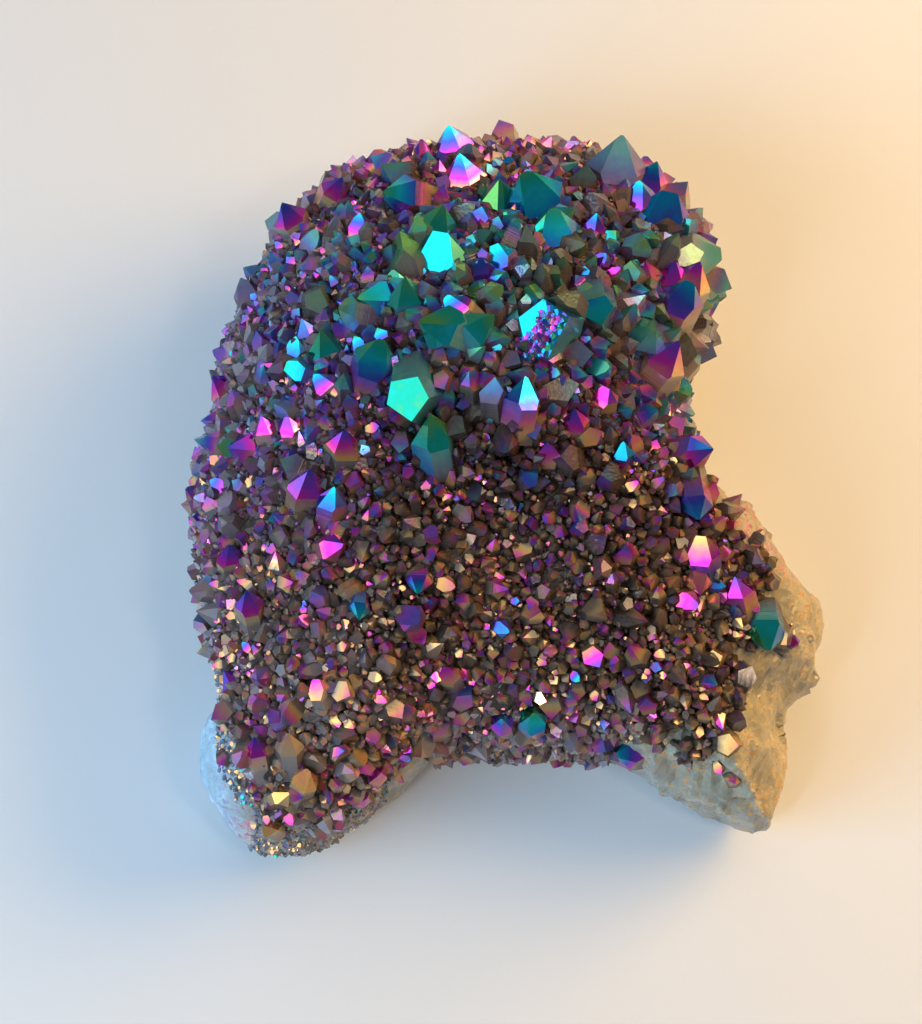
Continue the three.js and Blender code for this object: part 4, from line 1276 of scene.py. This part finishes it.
# %% Body and growth lines of the crystals
# the pale colour is partly pale quartz and partly painted glow of light through thin crystals
SMOKY, MILKY, PALE_QUARTZ = (0.032, 0.018, 0.012), (0.098, 0.060, 0.040), (0.33, 0.28, 0.295)
STREAK_SCALE, STREAK_STRETCH, STREAK_MORE, STREAK_LEAST = 1600.0, -0.85, 2.2, -0.7
LINES_PER_MM = 5.5
GRAIN_SCALE, GRAIN_UNDER_FILM = 2600.0, -1.6
LINE_STRENGTH, LINE_HEIGHT = 0.6, 0.00008


def quartz_body(tree, where, along):
    """Smoky quartz with milky streaks; the faces' marks make it paler, partly as painted glow, and lighter
    or darker, partly as painted shade.
    """
    squeeze = math_node(tree, "MULTIPLY", along, STREAK_STRETCH)
    squeeze = vector_node(tree, "SCALE", mark(tree, "axis", "Vector"), scale=squeeze)
    drawn_out = vector_node(tree, "ADD", where, squeeze)
    streaks = add_node(tree, "TexNoise", Vector=drawn_out, Scale=STREAK_SCALE, Detail=3.0).outputs["Fac"]
    cloudy = math_node(tree, "MULTIPLY_ADD", streaks, STREAK_MORE, STREAK_LEAST, clamped=True)
    # paler where the faces say so: partly pale quartz, partly painted glow
    body = mixed(tree, mark(tree, "pale"), mixed(tree, cloudy, SMOKY, MILKY), PALE_QUARTZ)
    # the quartz is scaled by each crystal's own tone and by the painted shade of the band across the middle
    return vector_node(tree, "SCALE", body, scale=mark(tree, "tone_and_shade"))


def crystal_relief(tree, where, along, coating, tilted):
    """A normal with growth lines on the sides and a grain where the quartz is bare."""
    lines = add_node(tree, "TexNoise", Scale=LINES_PER_MM / MM, Detail=2.0)
    lines.noise_dimensions = "1D"
    feed(tree, lines.inputs["W"], along)
    is_side = math_node(tree, "COMPARE", mark(tree, "kind"), float(SIDE), 0.1)
    grain = add_node(tree, "TexNoise", Vector=where, Scale=GRAIN_SCALE, Detail=3.0).outputs["Fac"]
    uncoated = math_node(tree, "MULTIPLY_ADD", coating, GRAIN_UNDER_FILM, 1.0, clamped=True)
    bare_grain = math_node(tree, "MULTIPLY", grain, uncoated)
    relief = math_node(tree, "MULTIPLY_ADD", lines.outputs["Fac"], is_side, bare_grain)
    bump = add_node(tree, "Bump", Strength=LINE_STRENGTH, Distance=LINE_HEIGHT, Height=relief, Normal=tilted)
    return bump.outputs["Normal"]


print("growth lines, per mm:", LINES_PER_MM)

# %% Crystal material
DRUSE_FACETS, DRUSE_TILT = 1900.0, 0.7


def new_material(name):
    material = bpy.data.materials.new(name)
    material.use_nodes = True
    return material, material.node_tree, material.node_tree.nodes["Principled BSDF"]


def crystal_material():
    material, tree, shader = new_material("coated_crystal")
    where = add_node(tree, "TexCoord").outputs["Object"]
    along = vector_node(tree, "DOT_PRODUCT", where, mark(tree, "axis", "Vector"))
    depth = math_node(tree, "DIVIDE", math_node(tree, "SUBTRACT", mark(tree, "tip_at"), along), MM)
    druse = druse_cover(tree, where)
    facets = add_node(tree, "Group", FACET_TILT, Position=where, Scale=DRUSE_FACETS,
                      Amount=math_node(tree, "MULTIPLY", druse, DRUSE_TILT)).outputs
    coating = crystal_coating(tree, where, depth)
    film = add_node(tree, "Group", METAL_FILM, Coating=coating, Bare_colour=quartz_body(tree, where, along),
                    Thickness=crystal_film(tree, where, depth, druse, facets["Chance"])).outputs
    relief = crystal_relief(tree, where, along, coating, facets["Normal"])
    feed_all(tree, shader, Base_Color=film["Colour"], Metallic=film["Metal"],
             Roughness=film["Roughness"], Normal=relief)
    return material


quartz = crystal_material()
print(quartz.name + ":", len(quartz.node_tree.nodes), "nodes")

# %% [markdown]
# ## Coated rock
# The bare rock took the same metal in patches, where it sparkles against dull olive and grey. As
# real faces these facets would number millions, so the facet group stands for them: all of them are
# tilted where metal reached the rock, and the ones with a high chance number are coated. One broad
# noise lets the colour, the film and the patches of metal wander together.

# %% Rock material
BLOTCH_SCALE, BLOTCH_DETAIL, BLOTCH_SHADE = 260.0, 6.0, 2.0
ROCK_DRIFT = 0.30
ROCK_PATCHES, ROCK_FACETS, ROCK_CHOSEN = (4.0, -1.5), 2100.0, (2.4, -1.2)
ROCK_TILT, ROCK_ROUGHNESS = 0.6, 0.26
ROCK_GRAIN, ROCK_BUMP, ROCK_GRAIN_HEIGHT = 1900.0, 0.5, 0.00018


def rock_material():
    material, tree, shader = new_material("coated_rock")
    where = add_node(tree, "TexCoord").outputs["Object"]
    blotches = add_node(tree, "TexNoise", Vector=where, Scale=BLOTCH_SCALE, Detail=BLOTCH_DETAIL,
                        Roughness=0.65).outputs["Fac"]
    shading = math_node(tree, "MULTIPLY_ADD", blotches, BLOTCH_SHADE, 0.0)
    bare = vector_node(tree, "SCALE", mark(tree, "bare", "Vector"), scale=shading)
    thinner = math_node(tree, "SUBTRACT", mark(tree, "film"), ROCK_DRIFT / 2)
    thickness = math_node(tree, "MULTIPLY_ADD", blotches, ROCK_DRIFT, thinner)
    patchy = math_node(tree, "MULTIPLY_ADD", blotches, *ROCK_PATCHES, clamped=True)
    metal = math_node(tree, "MULTIPLY", patchy, mark(tree, "coat"))
    facets = add_node(tree, "Group", FACET_TILT, Position=where, Scale=ROCK_FACETS,
                      Amount=math_node(tree, "MULTIPLY", metal, ROCK_TILT)).outputs
    chosen = math_node(tree, "MULTIPLY_ADD", facets["Chance"], *ROCK_CHOSEN, clamped=True)
    film = add_node(tree, "Group", METAL_FILM, Thickness=thickness, Bare_colour=bare,
                    Coating=math_node(tree, "MULTIPLY", chosen, metal)).outputs
    grain = add_node(tree, "TexNoise", Vector=where, Scale=ROCK_GRAIN, Detail=5.0, Roughness=0.7)
    bump = add_node(tree, "Bump", Strength=ROCK_BUMP, Distance=ROCK_GRAIN_HEIGHT,
                    Height=grain.outputs["Fac"], Normal=facets["Normal"])
    feed_all(tree, shader, Base_Color=film["Colour"], Metallic=film["Metal"],
             Roughness=ROCK_ROUGHNESS, Normal=bump.outputs["Normal"])
    return material


coated_rock = rock_material()
print(coated_rock.name + ":", len(coated_rock.node_tree.nodes), "nodes")

# %% [markdown]
# ## Dress the pieces
# The rock, the large crystals and the four rounds are the six pieces of the cluster. They are one
# rigid thing, so all of them ride on the same body, and together they stand for the solid model.

# %% Materials and places of the pieces


def dress(piece, material):
    piece.data.materials.clear()
    piece.data.materials.append(material)
    piece.data.polygons.foreach_set("material_index", [0] * len(piece.data.polygons))


dress(rock, coated_rock)
for piece in rounds:
    dress(piece, quartz)
for piece in (rock, *rounds):
    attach(piece, "root")
    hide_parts("quartz_cluster")
    print(piece.name, "wears", piece.data.materials[0].name)

# %% [markdown]
# ## The floor
# A pale matte floor takes the shadows and lights the cluster a little from below. It is far wider
# than the cluster, so that its edges stay out of the way.

# %% Floor
FLOOR_SIZE = 3.0
FLOOR_COLOUR, FLOOR_ROUGHNESS = (0.80, 0.79, 0.78, 1), 0.6


def stage_floor():
    half = FLOOR_SIZE / 2
    corners = [(-half, -half, 0), (half, -half, 0), (half, half, 0), (-half, half, 0)]
    floor = new_object("floor", new_mesh("floor", corners, [(0, 1, 2, 3)]))
    material, tree, shader = new_material("pale_floor")
    feed_all(tree, shader, Base_Color=FLOOR_COLOUR, Roughness=FLOOR_ROUGHNESS)
    floor.data.materials.append(material)


stage_floor()
print("floor, m:", FLOOR_SIZE)

# %% [markdown]
# ## Lights
# Metal shows mirror images of the lights, and matte surfaces show their glow, and the two want
# different lights here. The cool window on the left and the warm lamp behind on the right only show
# as mirror images. A blue light from the left and a yellow one from the right only glow: where one
# is shaded the other colours the floor, which gives one blue and one yellow shadow. The ceiling and
# two strips do both.

# %% Soft boxes
# direction, distance, width, height, power, colour, shows as a mirror image, glows on matte surfaces
LIGHTS = {
    "ceiling": ((0.10, 0.50, 0.86), 1.3, 1.3, 0.8, 1.85, (0.96, 0.97, 0.99), True, True),
    "window": ((-0.76, -0.10, 0.60), 0.55, 0.46, 0.42, 1.30, (0.94, 0.94, 0.92), True, False),
    "lamp": ((0.62, 0.48, 0.72), 0.55, 0.32, 0.28, 2.1, (1.0, 0.76, 0.46), True, False),
    "blue_side": ((-0.82, -0.38, 0.43), 0.42, 0.30, 0.24, 1.6, (0.26, 0.62, 1.0), False, True),
    "warm_side": ((0.84, 0.32, 0.44), 0.42, 0.30, 0.24, 2.3, (1.0, 0.60, 0.15), False, True),
    "left_strip": ((-0.46, -0.55, 0.67), 1.2, 0.12, 0.40, 1.8, (0.90, 0.95, 1.0), True, True),
    "right_strip": ((0.45, -0.30, 0.84), 1.2, 0.14, 0.14, 1.0, (1.0, 0.95, 0.88), True, True),
}


def soft_box(name, towards, distance, across, high, power, colour, mirrored, glows):
    lamp = bpy.data.lights.new(name, "AREA")
    lamp.shape, lamp.size, lamp.size_y = "RECTANGLE", across, high
    lamp.energy, lamp.color = power, colour
    box = bpy.data.objects.new(name, lamp)
    direction = Vector(towards).normalized()
    box.location = direction * distance
    box.rotation_euler = direction.to_track_quat("Z", "Y").to_euler()
    box.visible_glossy, box.visible_diffuse = mirrored, glows
    bpy.context.collection.objects.link(box)


for name, how in LIGHTS.items():
    soft_box(name, *how)
print("soft boxes:", len(LIGHTS))

# %% [markdown]
# ## The room
# A coated crystal mirrors the room as well as the lights. An empty world would leave its faces
# black, so the world is a dim room: bluish walls on the left, tan ones on the right, and a grey
# ceiling. Its colours change only with the direction, which takes a few nodes and no image.

# %% World
LEFT_WALL, RIGHT_WALL, ROOM_TOP = (0.28, 0.32, 0.41), (0.62, 0.43, 0.22), (0.19, 0.19, 0.21)
CLIMB = 1.7


def room_world():
    world = bpy.data.worlds.new("room")
    world.use_nodes = True
    tree = world.node_tree
    way = add_node(tree, "SeparateXYZ", Vector=add_node(tree, "TexCoord").outputs["Generated"]).outputs
    rightwards = math_node(tree, "MULTIPLY_ADD", way["X"], 0.5, 0.5)
    climb = math_node(tree, "MULTIPLY", way["Z"], CLIMB, clamped=True)
    room = mixed(tree, climb, mixed(tree, rightwards, LEFT_WALL, RIGHT_WALL), ROOM_TOP)
    feed_all(tree, tree.nodes["Background"], Color=room, Strength=1.0)
    return world


scene = bpy.context.scene
scene.world = room_world()
scene.view_settings.view_transform = "Standard"
print("world:", scene.world.name, "shown with the view", scene.view_settings.view_transform)
